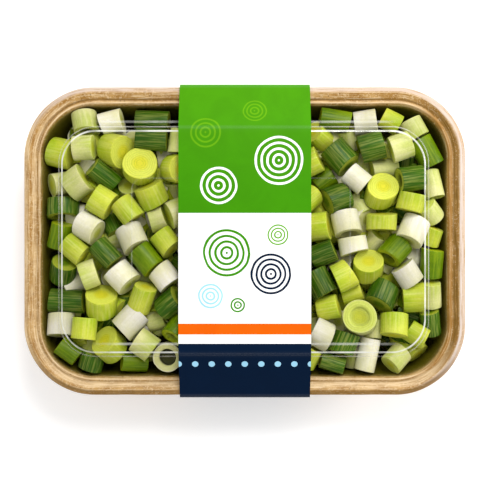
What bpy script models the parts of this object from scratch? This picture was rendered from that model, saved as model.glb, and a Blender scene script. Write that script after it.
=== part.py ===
"""A retail pack of cut leeks: fibre tray, clear lid, board sleeve and the leek rounds that fill it.

Metres, +Z up, +X along the tray. The origin is the middle of the underside, where the pack stands.
"""

import math

import bmesh
import bpy
import numpy as np

MM = 0.001

# Driving dimensions
TRAY_LENGTH = 225 * MM
TRAY_WIDTH = 157 * MM
TRAY_HEIGHT = 40 * MM
TRAY_CORNER = 36 * MM
SLEEVE_WIDTH = 66 * MM
BOARD = 0.6 * MM
LID_FILM = 0.6 * MM
GAP = 0.3 * MM

TRAY_FOOT_Z = BOARD + GAP
RIM_Z = TRAY_FOOT_Z + TRAY_HEIGHT

# Section lines in millimetres: how far in from the tray's outer edge, and how high above its rim
TRAY_UNDERSIDE = (
    (29.0, -38.9), (27.2, -40.0), (19.1, -40.0), (15.8, -38.9), (14.4, -35.2), (8.6, -3.4),
    (8.1, -2.7), (6.4, -2.7), (5.6, -2.1), (2.8, -1.4), (1.7, -1.9), (1.2, -4.2),
)
TRAY_INSIDE = (
    (0.0, -4.2), (0.0, -1.9), (0.5, -1.1), (2.7, 0.0), (3.3, 0.0), (5.9, -0.8), (6.5, -1.6),
    (7.0, -1.6), (7.6, -0.8), (8.2, -0.8), (9.5, -2.4), (15.5, -35.0), (16.8, -37.8),
    (19.4, -38.8), (27.6, -38.8), (29.4, -37.7),
)
LID_UNDERSIDE = (
    (7.1, -0.55), (7.6, -0.55), (8.0, -0.1), (9.3, -0.1), (10.2, 0.6), (17.8, 5.0), (18.8, 5.2),
    (20.7, 8.6), (21.6, 9.2),
)
# From the lid's ledge up to its flat top, the long sides lean in further and the corners stay rounder
LID_LEDGE_INSET = 9.3
LID_TOP_INSET = 21.6
LID_LONG_SIDE_EXTRA = 1.6
LID_TOP_CORNER = 16.5
LID_PANEL_HALF = (55 * MM, 31.5 * MM)
LID_PANEL_CORNER = 6 * MM
LID_PANEL_SINK = 0.6 * MM
LID_PANEL_SLOPE = 0.8 * MM

# Half of the sleeve's inner line, from the middle of the base up to the middle of the top:
# how far out, how high above the rim, and the radius of the crease there
SLEEVE_FOLDS = (
    (63.6, -40.3, 1.2),
    (79.1, -4.4, 4.0),
    (79.1, -0.6, 0.8),
    (78.0, 0.4, 0.8),
    (56.4, 10.1, 1.5),
)
CREASE_STEPS = 3

CORNER_STEPS = 8
CORE_CORNER_STEPS = 3

# The leek rounds seen through the lid, as they lie: middle in millimetres along X and Y, kind of cut
# (W white, P pale, L lime, M mid green, D dark green), the way the stalk points in degrees and how
# steeply it stands, across and along the stalk in millimetres, and the middle's height above the rim
SEEN_ROUNDS = (
    (-81.5, 61, "P", -75, 18, 14, 12, -2), (-69, 62.5, "W", 15, 5, 12.5, 12.5, -2),
    (-48.5, 62.5, "D", 2, 3, 11.5, 19, -3), (-48.5, 50, "D", 0, 3, 12.5, 18, -3),
    (-33.5, 50.5, "P", 80, 5, 13, 13, -2), (-95.5, 45.5, "L", -12, 8, 16, 12.5, -1),
    (-80.5, 46, "P", 0, 10, 13, 12, 0), (-66, 44.5, "L", -18, 50, 18, 12, 0),
    (-53, 38, "L", 62, 66, 19, 11, 2), (-35.5, 37, "L", 0, 55, 15, 11, -1),
    (-48.3, 23.5, "L", 112, 30, 16.5, 12, 0), (-85, 29.5, "P", 33, 12, 16.5, 12, 0),
    (-96.5, 30.5, "P", 185, 20, 12.5, 13, -3), (-72, 33, "D", -32, -8, 12, 17, -4),
    (-93, 18.3, "D", -90, 18, 17.5, 10.5, -1), (-72, 19.3, "L", -36, 3, 15.3, 12.5, 2),
    (-59, 14, "L", -50, 10, 13.5, 13, -1), (-44.8, 11.7, "P", 20, 2, 12.5, 9.5, -2),
    (-35.5, 14.5, "P", 200, 20, 15, 12, -3), (-80.5, 5.3, "W", -30, 12, 15, 12.5, 1),
    (-57, 2.2, "W", -75, 28, 15, 13, 1), (-96.5, 2.3, "M", 88, 5, 12, 13.5, -2),
    (-87.5, -3, "L", -35, 3, 12, 13.5, -1), (-39.5, 2.5, "L", -50, 15, 13, 13, -1),
    (-71, -6.3, "D", -50, 12, 13, 14.5, 0), (-50, -9, "M", -50, 12, 13.5, 14, -2),
    (-62, -18.5, "W", -45, 5, 15.2, 13.5, 2), (-81, -17.3, "P", 202, 8, 15.5, 9.5, 0),
    (-95.3, -16, "D", 62, 28, 14, 13, -2), (-42, -17.3, "W", -55, 12, 14, 12, 1),
    (-72.5, -32.3, "L", 90, 45, 17.5, 12, 1), (-91, -31.3, "D", 0, 2, 13, 19.5, -3),
    (-52.5, -29, "L", 78, 20, 13, 14.5, -1), (-39.3, -31.5, "D", 32, 20, 13.5, 13.5, -2),
    (-57.5, -41.2, "W", -138, 20, 14.5, 14.5, 2), (-94.5, -44, "W", -92, 14, 14.5, 12, -1),
    (-79.7, -45, "L", -86, 3, 14, 12, -2), (-71, -53.8, "L", 118, 48, 17, 12, 1),
    (-50.5, -53.5, "P", -37, 5, 15, 11.5, 1), (-90.3, -57.3, "M", -48, 8, 11, 13, -2),
    (-77.5, -63.5, "D", -80, 5, 13, 10, -3), (-58, -64, "M", 178, 5, 10, 14, -4),
    (-40, -61.3, "W", 90, 80, 15.5, 12, -1), (-36.5, -42, "M", -122, 25, 13.5, 13, 0),
    (46, 61.5, "M", 0, 2, 11, 17, -3), (62, 61.2, "W", 17, 5, 13, 12, -1),
    (75, 61.8, "L", -33, 8, 11.5, 10.5, -3), (87, 60, "P", -60, 12, 12.5, 11, -2),
    (47.5, 44.3, "D", -52, 18, 15, 16, 1), (64.5, 47.3, "D", 12, 12, 15, 13.5, 0),
    (80.5, 49, "P", 25, 10, 14.5, 11.5, 0), (94, 45.5, "M", -63, 10, 13, 16.5, -2),
    (42, 51.5, "L", 140, 35, 13, 11, -4), (34.5, 37.5, "L", 18, 5, 15.5, 12.5, -1),
    (57, 30.7, "W", -38, 8, 13.5, 12, 0), (73, 37.5, "P", 8, 2, 10.5, 14.5, -4),
    (84.5, 30.7, "D", 180, 20, 13.5, 13.5, -1), (69, 25, "L", 86, 55, 17.3, 12, 2),
    (47, 21.5, "D", 203, 14, 15.5, 13, 1), (83.5, 18.4, "L", 82, 3, 14.5, 10.5, 0),
    (94.5, 28, "P", -90, 10, 10.5, 15, -2), (97.5, 15.3, "P", 125, 30, 12, 11, -2),
    (52.8, 8.7, "W", -88, 36, 15.3, 12.5, 0), (69, 10.2, "L", 88, 0, 16, 10.5, 0),
    (86.5, 6, "W", -112, 22, 15, 14, 1), (37.5, 6.7, "L", 8, 5, 15.5, 13, 0),
    (56, -1.5, "W", -84, 10, 16, 10, 1), (76, -4.3, "M", -128, 32, 14.5, 13, -1),
    (40.5, -7.5, "D", 12, 8, 13, 14, -1), (64, -13.3, "L", 88, 44, 16.3, 12, 0),
    (82.5, -16.7, "W", -45, 4, 13.5, 11.5, 1), (50, -17.2, "L", 28, 3, 16, 11, 2),
    (97.2, -10.5, "M", 88, 8, 13, 16, -2), (39, -22.7, "D", -57, 12, 14, 14, -1),
    (70.5, -26.7, "D", -117, 28, 16, 13, 1), (89, -28.8, "L", 4, 3, 15.5, 12, 0),
    (98, -28, "P", 98, 20, 11, 14, -3), (58, -39.3, "P", 90, 86, 18.2, 12.5, 2),
    (43.7, -34, "L", 28, 10, 13.5, 12, -1), (77, -43.3, "L", -82, 16, 15, 12, 1),
    (40.3, -46, "W", -33, 4, 15.5, 11.5, 1), (50.5, -52.3, "D", -112, 3, 14.5, 13, -1),
    (63.7, -58.5, "W", 86, 2, 11, 17.5, 0), (88.5, -47.5, "L", -35, 12, 12, 12, -3),
    (79.5, -61, "P", -132, 12, 12.5, 11.5, -1), (43, -64.5, "D", -4, 2, 9.5, 14, -3),
    (91, -56, "L", -60, 15, 12.5, 12, -3), (97, -43.5, "D", 88, 6, 11, 13, -3),
    (35.5, -59, "L", 60, 10, 12, 12, -3),
    (-68, 55, "W", 0, 5, 10, 12, -7), (-62, 26, "P", 100, 60, 11, 10, -8),
    (-38.5, 25.5, "P", 90, 20, 10, 11, -7), (-68, 7, "D", -60, 30, 11, 11, -8),
    (-62, -32.5, "D", 90, 20, 10, 11, -8), (-69.5, -43, "D", 60, 20, 10, 11, -9),
    (-46, -41.5, "P", 20, 10, 11, 11, -8), (-84, -52, "L", 20, 10, 10, 11, -8),
    (55, 53, "P", 80, 20, 10, 11, -8), (58.5, 18, "P", -60, 5, 10, 12, -8),
    (67.5, 1, "P", 40, 10, 11, 12, -8), (98, 4, "L", 80, 20, 10.5, 10, -5),
    (56.5, -27.5, "L", 20, 5, 10, 12, -9), (66.5, -47, "P", 90, 10, 10, 11, -8),
    (53.5, -64.3, "P", 90, 10, 9.5, 9, -6), (84, 40, "D", 80, 20, 11, 12, -8),
)

# How the rest of the heap is drawn and how all of it settles
SEED = 4
KINDS = ("W", "P", "L", "M", "D")
KIND_SHARES = (0.20, 0.22, 0.28, 0.10, 0.20)
SLEEVE_COLUMNS = (-24 * MM, -8 * MM, 8 * MM, 24 * MM)
SLEEVE_ROWS = 8
ROW_PITCH = 17 * MM
ROW_STAGGER = 4 * MM
TOP_LAYER_DROP = 1 * MM
SCATTER = 2 * MM
DEEPER_ROUNDS = 104
DEEPER_MIDDLE_DROP = 23 * MM
DEEPER_SPREAD = (88 * MM, 55 * MM, 10 * MM)
ROUND_RADIUS = (6.0 * MM, 7.8 * MM)
ROUND_HALF_LENGTH = (5.6 * MM, 6.6 * MM)
SETTLE_STEPS = 500
FIRST_HOLD = 0.1
LAST_HOLD = 0.01
HOLD_SHARES = (1.0, 1.0, 0.3)
AIM_SHARE = 4.0
LIFT = 0.02 * MM
PUSH = 2.0
SPIN_INERTIA = 0.45

# Where the heap is held: the wall inside the tray, and the slope and flat under the lid
WALL_TOP = (9.5 * MM, -2.4 * MM)
WALL_FOOT = (15.5 * MM, -35.0 * MM)
HEAP_FLOOR = -37.7 * MM
HEAP_CEILING_INSET = (9.3 * MM, 10.4 * MM, 19.4 * MM, 20.6 * MM, 23.0 * MM)
HEAP_CEILING_RISE = (-0.1 * MM, 0.6 * MM, 5.0 * MM, 5.2 * MM, 8.5 * MM)

# The solid middle of the heap, which the rounds stand out of
CORE_WALL_GAP = 1.5 * MM
CORE_SHOULDER = -14 * MM
CORE_TOP = -4.6 * MM
CORE_TOP_INSET = 25 * MM
CORE_FREE = 2.0 * MM
WELD = 0.002 * MM
SIDES = 8


def clear_scene():
    for old in list(bpy.data.objects):
        bpy.data.objects.remove(old, do_unlink=True)


def finish(name, colour, roughness, alpha=1.0):
    """A plain Principled material."""
    material = bpy.data.materials.new(name)
    material.use_nodes = True
    shader = material.node_tree.nodes["Principled BSDF"]
    shader.inputs["Base Color"].default_value = (*colour, 1.0)
    shader.inputs["Roughness"].default_value = roughness
    shader.inputs["Metallic"].default_value = 0.0
    shader.inputs["Alpha"].default_value = alpha
    return material


def add_object(name, vertices, faces, material, smooth_angle=40):
    mesh = bpy.data.meshes.new(name)
    mesh.from_pydata([tuple(v) for v in vertices], [], faces)
    mesh.shade_smooth()
    mesh.set_sharp_from_angle(angle=math.radians(smooth_angle))
    mesh.materials.append(material)
    piece = bpy.data.objects.new(name, mesh)
    bpy.context.scene.collection.objects.link(piece)
    return piece


def rounded_ring(half_x, half_y, radius, z, steps=CORNER_STEPS):
    """A rounded rectangle at height z, anticlockwise from the corner at +X +Y."""
    ring = []
    for quarter, (sx, sy) in enumerate(((1, 1), (-1, 1), (-1, -1), (1, -1))):
        for step in range(steps + 1):
            turn = math.pi / 2 * (quarter + step / steps)
            x = sx * (half_x - radius) + radius * math.cos(turn)
            y = sy * (half_y - radius) + radius * math.sin(turn)
            ring.append((x, y, z))
    return ring


def tray_ring(inset, z, steps=CORNER_STEPS):
    """The tray's outline moved in by an inset, at height z."""
    return rounded_ring(TRAY_LENGTH / 2 - inset, TRAY_WIDTH / 2 - inset, TRAY_CORNER - inset, z, steps)


def section_rings(line):
    return [tray_ring(inset * MM, RIM_Z + rise * MM) for inset, rise in line]


def stack_rings(name, rings, material):
    """A closed body: quads between one ring and the next, and a flat cap on the first and the last.

    The rings run from the middle of the underside out to the edge and back in over the top.
    """
    count = len(rings[0])
    vertices = [point for ring in rings for point in ring]
    faces = []
    for layer in range(len(rings) - 1):
        low = layer * count
        high = low + count
        for i in range(count):
            j = (i + 1) % count
            faces.append((low + i, low + j, high + j, high + i))
    faces.append(tuple(reversed(range(count))))
    last = (len(rings) - 1) * count
    faces.append(tuple(range(last, last + count)))
    return add_object(name, vertices, faces, material)


def offset_line(line, distance):
    """The line moved sideways to its left by a distance, with mitred corners."""
    points = np.array(line, float)
    along = np.diff(points, axis=0)
    along /= np.linalg.norm(along, axis=1, keepdims=True)
    left = np.stack([-along[:, 1], along[:, 0]], axis=1)
    before = np.vstack([left[:1], left])
    after = np.vstack([left, left[-1:]])
    middle = before + after
    mitre = middle / (1 + (before * after).sum(axis=1, keepdims=True))
    return points + distance * mitre


def make_tray():
    material = finish("moulded_fibre", (0.55, 0.36, 0.13), 0.9)
    rings = section_rings(TRAY_UNDERSIDE) + section_rings(TRAY_INSIDE)
    return stack_rings("tray", rings, material)


def lid_ring(inset, rise):
    """The lid's outline at an inset in millimetres from the tray's short sides."""
    share = max(0.0, (inset - LID_LEDGE_INSET) / (LID_TOP_INSET - LID_LEDGE_INSET))
    tray_corner = TRAY_CORNER / MM
    ledge_corner = tray_corner - LID_LEDGE_INSET
    corner = ledge_corner + (LID_TOP_CORNER - ledge_corner) * share if share else tray_corner - inset
    half_x = TRAY_LENGTH / 2 - inset * MM
    half_y = TRAY_WIDTH / 2 - (inset + LID_LONG_SIDE_EXTRA * share) * MM
    return rounded_ring(half_x, half_y, corner * MM, RIM_Z + rise * MM)


def panel_rings(z, inner_first):
    """The two rings of the shallow sunk panel in the lid's flat top."""
    half_x, half_y = LID_PANEL_HALF
    outer = rounded_ring(half_x, half_y, LID_PANEL_CORNER, z)
    slope = LID_PANEL_SLOPE
    inner = rounded_ring(half_x - slope, half_y - slope, LID_PANEL_CORNER - slope, z - LID_PANEL_SINK)
    return [inner, outer] if inner_first else [outer, inner]


def make_lid():
    material = finish("clear_film", (0.9, 0.92, 0.92), 0.08, alpha=0.35)
    top_line = offset_line(LID_UNDERSIDE, LID_FILM / MM)
    flat_z = RIM_Z + LID_UNDERSIDE[-1][1] * MM
    rings = panel_rings(flat_z, inner_first=True)
    rings += [lid_ring(inset, rise) for inset, rise in reversed(LID_UNDERSIDE)]
    rings += [lid_ring(inset, rise) for inset, rise in top_line]
    rings += panel_rings(flat_z + LID_FILM, inner_first=False)
    return stack_rings("lid", rings, material)


def rounded_corner(before, corner, after, radius):
    """Points on the arc of a radius that rounds off a corner of a line."""
    back = before - corner
    ahead = after - corner
    back /= np.linalg.norm(back)
    ahead /= np.linalg.norm(ahead)
    half_angle = math.acos(float(np.clip(back @ ahead, -1, 1))) / 2
    reach = radius / math.tan(half_angle)
    middle = corner + (back + ahead) / np.linalg.norm(back + ahead) * radius / math.sin(half_angle)
    first = corner + back * reach - middle
    last = corner + ahead * reach - middle
    full = math.acos(float(np.clip(first @ last / radius**2, -1, 1)))
    points = []
    for step in range(CREASE_STEPS + 1):
        share = step / CREASE_STEPS
        weights = math.sin((1 - share) * full), math.sin(share * full)
        points.append(middle + (weights[0] * first + weights[1] * last) / math.sin(full))
    return points


def sleeve_line():
    """The sleeve's inner line in Y and Z as a closed loop, anticlockwise, with rounded creases."""
    right = [np.array((out * MM, RIM_Z + rise * MM)) for out, rise, _ in SLEEVE_FOLDS]
    radii = [radius * MM for _, _, radius in SLEEVE_FOLDS]
    corners = right + [point * (-1, 1) for point in reversed(right)]
    radii = radii + radii[::-1]
    line = []
    for i, corner in enumerate(corners):
        line += rounded_corner(corners[i - 1], corner, corners[(i + 1) % len(corners)], radii[i])
    return np.array(line)


def loop_offset(loop, distance):
    """A closed anticlockwise loop moved outwards by a distance."""
    closed = np.vstack([loop[-1:], loop, loop[:1]])
    return offset_line(closed, -distance)[1:-1]


def make_sleeve():
    """The board band: its section, a flat rectangle, carried round the closed line."""
    material = finish("printed_board", (0.82, 0.86, 0.80), 0.5)
    inner = sleeve_line()
    outer = loop_offset(inner, BOARD)
    half = SLEEVE_WIDTH / 2
    section = [(half, inner), (half, outer), (-half, outer), (-half, inner)]
    vertices = [(x, y, z) for x, line in section for y, z in line]
    count = len(inner)
    faces = []
    for band in range(4):
        low = band * count
        high = (band + 1) % 4 * count
        for i in range(count):
            j = (i + 1) % count
            faces.append((low + i, high + i, high + j, low + j))
    return add_object("sleeve", vertices, faces, material, smooth_angle=20)


def outline_depth(points):
    """How far inside the tray's outline each point lies in plan, and the way straight out of it."""
    half = np.array([TRAY_LENGTH, TRAY_WIDTH]) / 2 - TRAY_CORNER
    flat = points[:, :2]
    past = np.abs(flat) - half
    corner = np.maximum(past, 0)
    reach = np.linalg.norm(corner, axis=1)
    depth = TRAY_CORNER - reach - np.minimum(past.max(axis=1), 0)
    in_corner = reach > 1e-9
    out = np.zeros_like(flat)
    out[in_corner] = corner[in_corner] / reach[in_corner, None]
    out[~in_corner, past.argmax(axis=1)[~in_corner]] = 1
    return depth, out * np.where(flat < 0, -1, 1)


def wall_inset(rise):
    """The wall's distance in from the outline at a height above the rim."""
    return np.interp(rise, (WALL_FOOT[1], WALL_TOP[1]), (WALL_FOOT[0], WALL_TOP[0]))


def cross_frames(axes):
    """Two directions square to each axis."""
    helper = np.where(np.abs(axes[:, 2:]) < 0.8, [[0.0, 0.0, 1.0]], [[1.0, 0.0, 0.0]])
    side = np.cross(helper, axes)
    side /= np.linalg.norm(side, axis=1, keepdims=True)
    return side, np.cross(axes, side)


def round_points(heap, pattern):
    """Points of a unit cylinder's pattern on every round, from the round's own middle."""
    side, up = cross_frames(heap["axes"])
    radius = heap["radii"][:, None]
    half = heap["halves"][:, None]
    return (
        pattern[None, :, :1] * (radius * side)[:, None]
        + pattern[None, :, 1:2] * (radius * up)[:, None]
        + pattern[None, :, 2:] * (half * heap["axes"])[:, None]
    )


def cylinder_pattern(rows):
    """Points round a unit cylinder at the given heights, then the middle of its lower and upper cut."""
    turns = np.arange(SIDES) * 2 * np.pi / SIDES
    rings = [(math.cos(turn), math.sin(turn), height) for height in rows for turn in turns]
    return np.array(rings + [(0, 0, -1), (0, 0, 1)])


def draw_heap():
    """The rounds before they settle: those seen, then under the sleeve, then the deeper ones."""
    draw = np.random.default_rng(SEED)
    middles = []
    axes = []
    for x, y, _, heading, tilt, _, _, level in SEEN_ROUNDS:
        turn = math.radians(heading)
        steep = math.radians(tilt)
        middles.append((x * MM, y * MM, RIM_Z + level * MM))
        axes.append((math.cos(turn) * math.cos(steep), math.sin(turn) * math.cos(steep), math.sin(steep)))
    for column, x in enumerate(SLEEVE_COLUMNS):
        for row in range(SLEEVE_ROWS):
            y = (row - (SLEEVE_ROWS - 1) / 2) * ROW_PITCH + ROW_STAGGER * (-1) ** column
            middles.append((x, y, RIM_Z - TOP_LAYER_DROP) + draw.uniform(-1, 1, 3) * (SCATTER, SCATTER, 0))
            axes.append(draw.normal(size=3))
    for spot in draw.uniform(-1, 1, (DEEPER_ROUNDS, 3)):
        middles.append(spot * DEEPER_SPREAD + (0, 0, RIM_Z - DEEPER_MIDDLE_DROP))
        axes.append(draw.normal(size=3))
    seen = len(SEEN_ROUNDS)
    unseen = len(middles) - seen
    axes = np.array(axes, float)
    across = np.array([one[5] for one in SEEN_ROUNDS]) * MM
    along = np.array([one[6] for one in SEEN_ROUNDS]) * MM
    kinds = [one[2] for one in SEEN_ROUNDS] + list(draw.choice(KINDS, unseen, p=KIND_SHARES))
    return {
        "middles": np.array(middles, float),
        "axes": axes / np.linalg.norm(axes, axis=1, keepdims=True),
        "radii": np.concatenate([across / 2, draw.uniform(*ROUND_RADIUS, unseen)]),
        "halves": np.concatenate([along / 2, draw.uniform(*ROUND_HALF_LENGTH, unseen)]),
        "kinds": np.array(kinds),
        "seen": seen,
    }


def push_apart(heap, arms):
    """Move and turn rounds that overlap: each test point inside a neighbour is pushed out of it."""
    middles = heap["middles"]
    axes = heap["axes"]
    radii = heap["radii"]
    halves = heap["halves"]
    inertia = SPIN_INERTIA * radii**2
    reach = np.sqrt(radii**2 + halves**2)
    apart = np.linalg.norm(middles[:, None] - middles[None], axis=2)
    one, other = np.nonzero((apart < reach[:, None] + reach[None]) & (apart > 0))
    points = middles[one][:, None] + arms[one]
    offset = points - middles[other][:, None]
    along = np.einsum("nkj,nj->nk", offset, axes[other])
    outward = offset - along[..., None] * axes[other][:, None]
    distance = np.linalg.norm(outward, axis=2)
    to_side = radii[other][:, None] - distance
    to_cut = halves[other][:, None] - np.abs(along)
    pair, k = np.nonzero(np.minimum(to_side, to_cut) > 0)
    i = one[pair]
    j = other[pair]
    side_way = outward[pair, k] / np.maximum(distance[pair, k], 1e-9)[:, None]
    cut_way = np.sign(along[pair, k])[:, None] * axes[j]
    by_side = to_side[pair, k] < to_cut[pair, k]
    way = np.where(by_side[:, None], side_way, cut_way)
    deep = np.minimum(to_side[pair, k], to_cut[pair, k])
    turn_i = np.cross(arms[i, k], way)
    turn_j = np.cross(points[pair, k] - middles[j], way)
    ease = 2 + (turn_i**2).sum(1) / inertia[i] + (turn_j**2).sum(1) / inertia[j]
    push = (deep / ease)[:, None]
    move = np.zeros_like(middles)
    spin = np.zeros_like(middles)
    hits = np.zeros(len(middles))
    np.add.at(move, i, push * way)
    np.add.at(move, j, -push * way)
    np.add.at(spin, i, push * turn_i / inertia[i][:, None])
    np.add.at(spin, j, -push * turn_j / inertia[j][:, None])
    np.add.at(hits, i, 1)
    np.add.at(hits, j, 1)
    share = np.minimum(PUSH / np.maximum(hits, 1), 1)[:, None]
    heap["middles"] = middles + share * move
    turned = axes + np.cross(share * spin, axes)
    heap["axes"] = turned / np.linalg.norm(turned, axis=1, keepdims=True)


def keep_in_pack(heap, arms):
    """Bring back the rounds that reach through the tray's wall or floor, or through the lid."""
    count = len(arms)
    rows = np.arange(count)
    points = (heap["middles"][:, None] + arms).reshape(-1, 3)
    depth, out = outline_depth(points)
    over = (wall_inset(points[:, 2] - RIM_Z) + GAP - depth).reshape(count, -1)
    worst = over.argmax(axis=1)
    push = np.maximum(over[rows, worst], 0)[:, None]
    heap["middles"][:, :2] -= push * out.reshape(count, -1, 2)[rows, worst]
    points = (heap["middles"][:, None] + arms).reshape(-1, 3)
    ceiling = np.interp(outline_depth(points)[0], HEAP_CEILING_INSET, HEAP_CEILING_RISE) - GAP
    over = (points[:, 2] - RIM_Z - ceiling).reshape(count, -1).max(axis=1)
    heap["middles"][:, 2] -= np.maximum(over, 0)
    under = RIM_Z + HEAP_FLOOR + GAP - heap["middles"][:, 2] - arms[:, :, 2].min(axis=1)
    heap["middles"][:, 2] += np.maximum(under, 0)


def settle_heap():
    """The whole heap, pressed up under the lid, with the seen rounds kept near where and how they lie."""
    heap = draw_heap()
    skin = cylinder_pattern((-1, 0, 1))
    seen = heap["seen"]
    places = heap["middles"][:seen].copy()
    aims = heap["axes"][:seen].copy()
    for step in range(SETTLE_STEPS):
        push_apart(heap, round_points(heap, skin))
        heap["middles"][:, 2] += LIFT
        hold = FIRST_HOLD + (LAST_HOLD - FIRST_HOLD) * step / SETTLE_STEPS
        heap["middles"][:seen] += hold * (places - heap["middles"][:seen]) * HOLD_SHARES
        heap["axes"][:seen] += hold * AIM_SHARE * (aims - heap["axes"][:seen])
        heap["axes"] /= np.linalg.norm(heap["axes"], axis=1, keepdims=True)
        arms = round_points(heap, skin)
        keep_in_pack(heap, arms)
        keep_in_pack(heap, arms)
        heap["middles"] = np.round(heap["middles"], 7)
        heap["axes"] = np.round(heap["axes"], 6)
    return heap


def make_core(material):
    """The heap's solid middle: a shallow block with sloping shoulders, clear of the tray."""
    line = (
        (wall_inset(HEAP_FLOOR) + CORE_WALL_GAP, HEAP_FLOOR + GAP),
        (wall_inset(CORE_SHOULDER) + CORE_WALL_GAP, CORE_SHOULDER),
        (CORE_TOP_INSET, CORE_TOP),
    )
    rings = [tray_ring(inset, RIM_Z + rise, CORE_CORNER_STEPS) for inset, rise in line]
    return stack_rings("cut_leeks", rings, material)


def make_rounds(heap, collection, material):
    """One plain prism for each round that stands out of the heap's solid middle."""
    arms = round_points(heap, cylinder_pattern((-1, 1)))[:, : 2 * SIDES]
    points = heap["middles"][:, None] + arms
    faces = [(i, (i + 1) % SIDES, SIDES + (i + 1) % SIDES, SIDES + i) for i in range(SIDES)]
    faces.append(tuple(reversed(range(SIDES))))
    faces.append(tuple(range(SIDES, 2 * SIDES)))
    highest = points[:, :, 2].max(axis=1) - RIM_Z
    for index in np.nonzero(highest > CORE_TOP + CORE_FREE)[0]:
        piece = add_object(f"round_{index}", points[index], faces, material)
        bpy.context.scene.collection.objects.unlink(piece)
        collection.objects.link(piece)


def keep_largest_shell(mesh):
    """Drop the inner shells of sealed hollows and any loose scrap, and keep the outer skin."""
    work = bmesh.new()
    work.from_mesh(mesh)
    waiting = set(work.verts)
    shells = []
    while waiting:
        shell = []
        edge_of_search = [waiting.pop()]
        while edge_of_search:
            vertex = edge_of_search.pop()
            shell.append(vertex)
            for link in vertex.link_edges:
                neighbour = link.other_vert(vertex)
                if neighbour in waiting:
                    waiting.remove(neighbour)
                    edge_of_search.append(neighbour)
        shells.append(shell)
    shells.sort(key=len)
    for shell in shells[:-1]:
        bmesh.ops.delete(work, geom=shell, context="VERTS")
    bmesh.ops.remove_doubles(work, verts=work.verts, dist=WELD)
    bmesh.ops.triangulate(work, faces=work.faces)
    work.to_mesh(mesh)
    work.free()


def make_heap():
    """The rounds fused with the heap's solid middle by one union."""
    material = finish("cut_leek", (0.55, 0.68, 0.22), 0.45)
    core = make_core(material)
    collection = bpy.data.collections.new("rounds")
    make_rounds(settle_heap(), collection, material)
    union = core.modifiers.new("fuse", "BOOLEAN")
    union.operation = "UNION"
    union.operand_type = "COLLECTION"
    union.collection = collection
    union.solver = "EXACT"
    bpy.context.view_layer.update()
    fused = bpy.data.meshes.new_from_object(core.evaluated_get(bpy.context.evaluated_depsgraph_get()))
    core.modifiers.clear()
    core.data = fused
    for piece in list(collection.objects):
        bpy.data.objects.remove(piece, do_unlink=True)
    bpy.data.collections.remove(collection)
    keep_largest_shell(fused)
    fused.shade_smooth()
    fused.set_sharp_from_angle(angle=math.radians(50))
    return core


clear_scene()
make_tray()
make_lid()
make_sleeve()
make_heap()
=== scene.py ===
"""A retail pack of cut leeks, dressed: pressed fibre tray, clear lid, printed board sleeve, leek rounds.

Metres, +Z up, +X along the tray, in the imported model's own frame. Every piece is a surface worked out
as whole arrays, and every finish is made of nodes.
"""

import math

import bpy
import numpy as np
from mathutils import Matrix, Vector


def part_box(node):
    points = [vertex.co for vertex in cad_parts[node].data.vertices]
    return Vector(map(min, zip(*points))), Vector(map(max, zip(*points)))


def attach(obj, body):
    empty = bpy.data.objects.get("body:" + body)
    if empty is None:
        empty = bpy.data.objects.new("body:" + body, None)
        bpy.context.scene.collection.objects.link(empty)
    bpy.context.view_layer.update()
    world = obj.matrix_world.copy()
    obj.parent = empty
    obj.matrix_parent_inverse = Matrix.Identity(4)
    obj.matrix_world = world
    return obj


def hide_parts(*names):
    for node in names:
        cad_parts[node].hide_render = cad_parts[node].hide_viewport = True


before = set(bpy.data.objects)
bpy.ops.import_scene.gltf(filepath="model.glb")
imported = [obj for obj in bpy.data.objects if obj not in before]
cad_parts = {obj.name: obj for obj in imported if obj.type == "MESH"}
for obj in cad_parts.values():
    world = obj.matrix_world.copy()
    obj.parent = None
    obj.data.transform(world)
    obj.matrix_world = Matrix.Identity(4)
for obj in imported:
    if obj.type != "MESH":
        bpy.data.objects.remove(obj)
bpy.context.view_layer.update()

MM = 0.001

# The tray's outer size and its rim's height come from the frame
TRAY_LOW, TRAY_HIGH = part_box("tray")
TRAY_LENGTH = round(TRAY_HIGH.x - TRAY_LOW.x, 5)
TRAY_WIDTH = round(TRAY_HIGH.y - TRAY_LOW.y, 5)
RIM_Z = round(TRAY_HIGH.z, 5)
TRAY_CORNER = 36 * MM
SLEEVE_HALF = round(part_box("sleeve")[1].x, 5)
GAP = 0.3 * MM

# Section lines in millimetres: how far in from the tray's outer edge, and how high above its rim
TRAY_UNDERSIDE = (
    (29.0, -38.9), (27.2, -40.0), (19.1, -40.0), (15.8, -38.9), (14.4, -35.2), (8.6, -3.4),
    (8.1, -2.7), (6.4, -2.7), (5.6, -2.1), (2.8, -1.5), (1.7, -2.1), (1.2, -4.2),
)
TRAY_INSIDE = (
    (0.0, -4.2), (0.0, -1.7), (0.3, -1.1), (0.9, -0.8), (2.5, -0.05), (3.1, 0.0), (5.9, -1.3),
    (6.3, -1.6), (6.8, -1.65), (7.5, -1.1), (8.0, -0.95), (8.4, -1.1), (9.5, -2.4),
    (15.5, -35.0), (16.8, -37.8), (19.4, -38.8), (27.6, -38.8), (29.4, -37.7),
)
TRAY_BEND = 0.5
TRAY_STEP = 2.0
# Points of a line closer than the longest stretch over this number are one point
MERGE_PARTS = 30
# Unevenness of the pulp: its depth, the length of its waves inward and down, and how far down it goes
TRAY_WAVE = 0.07 * MM
TRAY_WAVE_LENGTHS = (22 * MM, 17 * MM)
TRAY_WAVE_REACH = 30 * MM
# Streaks of the pulp: how often they change along the rim and across it, to the metre
STREAKS = (70, 1500)
RIDGE_BEND = 0.9
# The inset that the tray's underside carries, past all the rim's bands of painted light and shade
PLAIN_INSET = 12.5
BASE_SHARES = (0.12, 0.3, 0.5, 0.7, 0.88)
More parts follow.
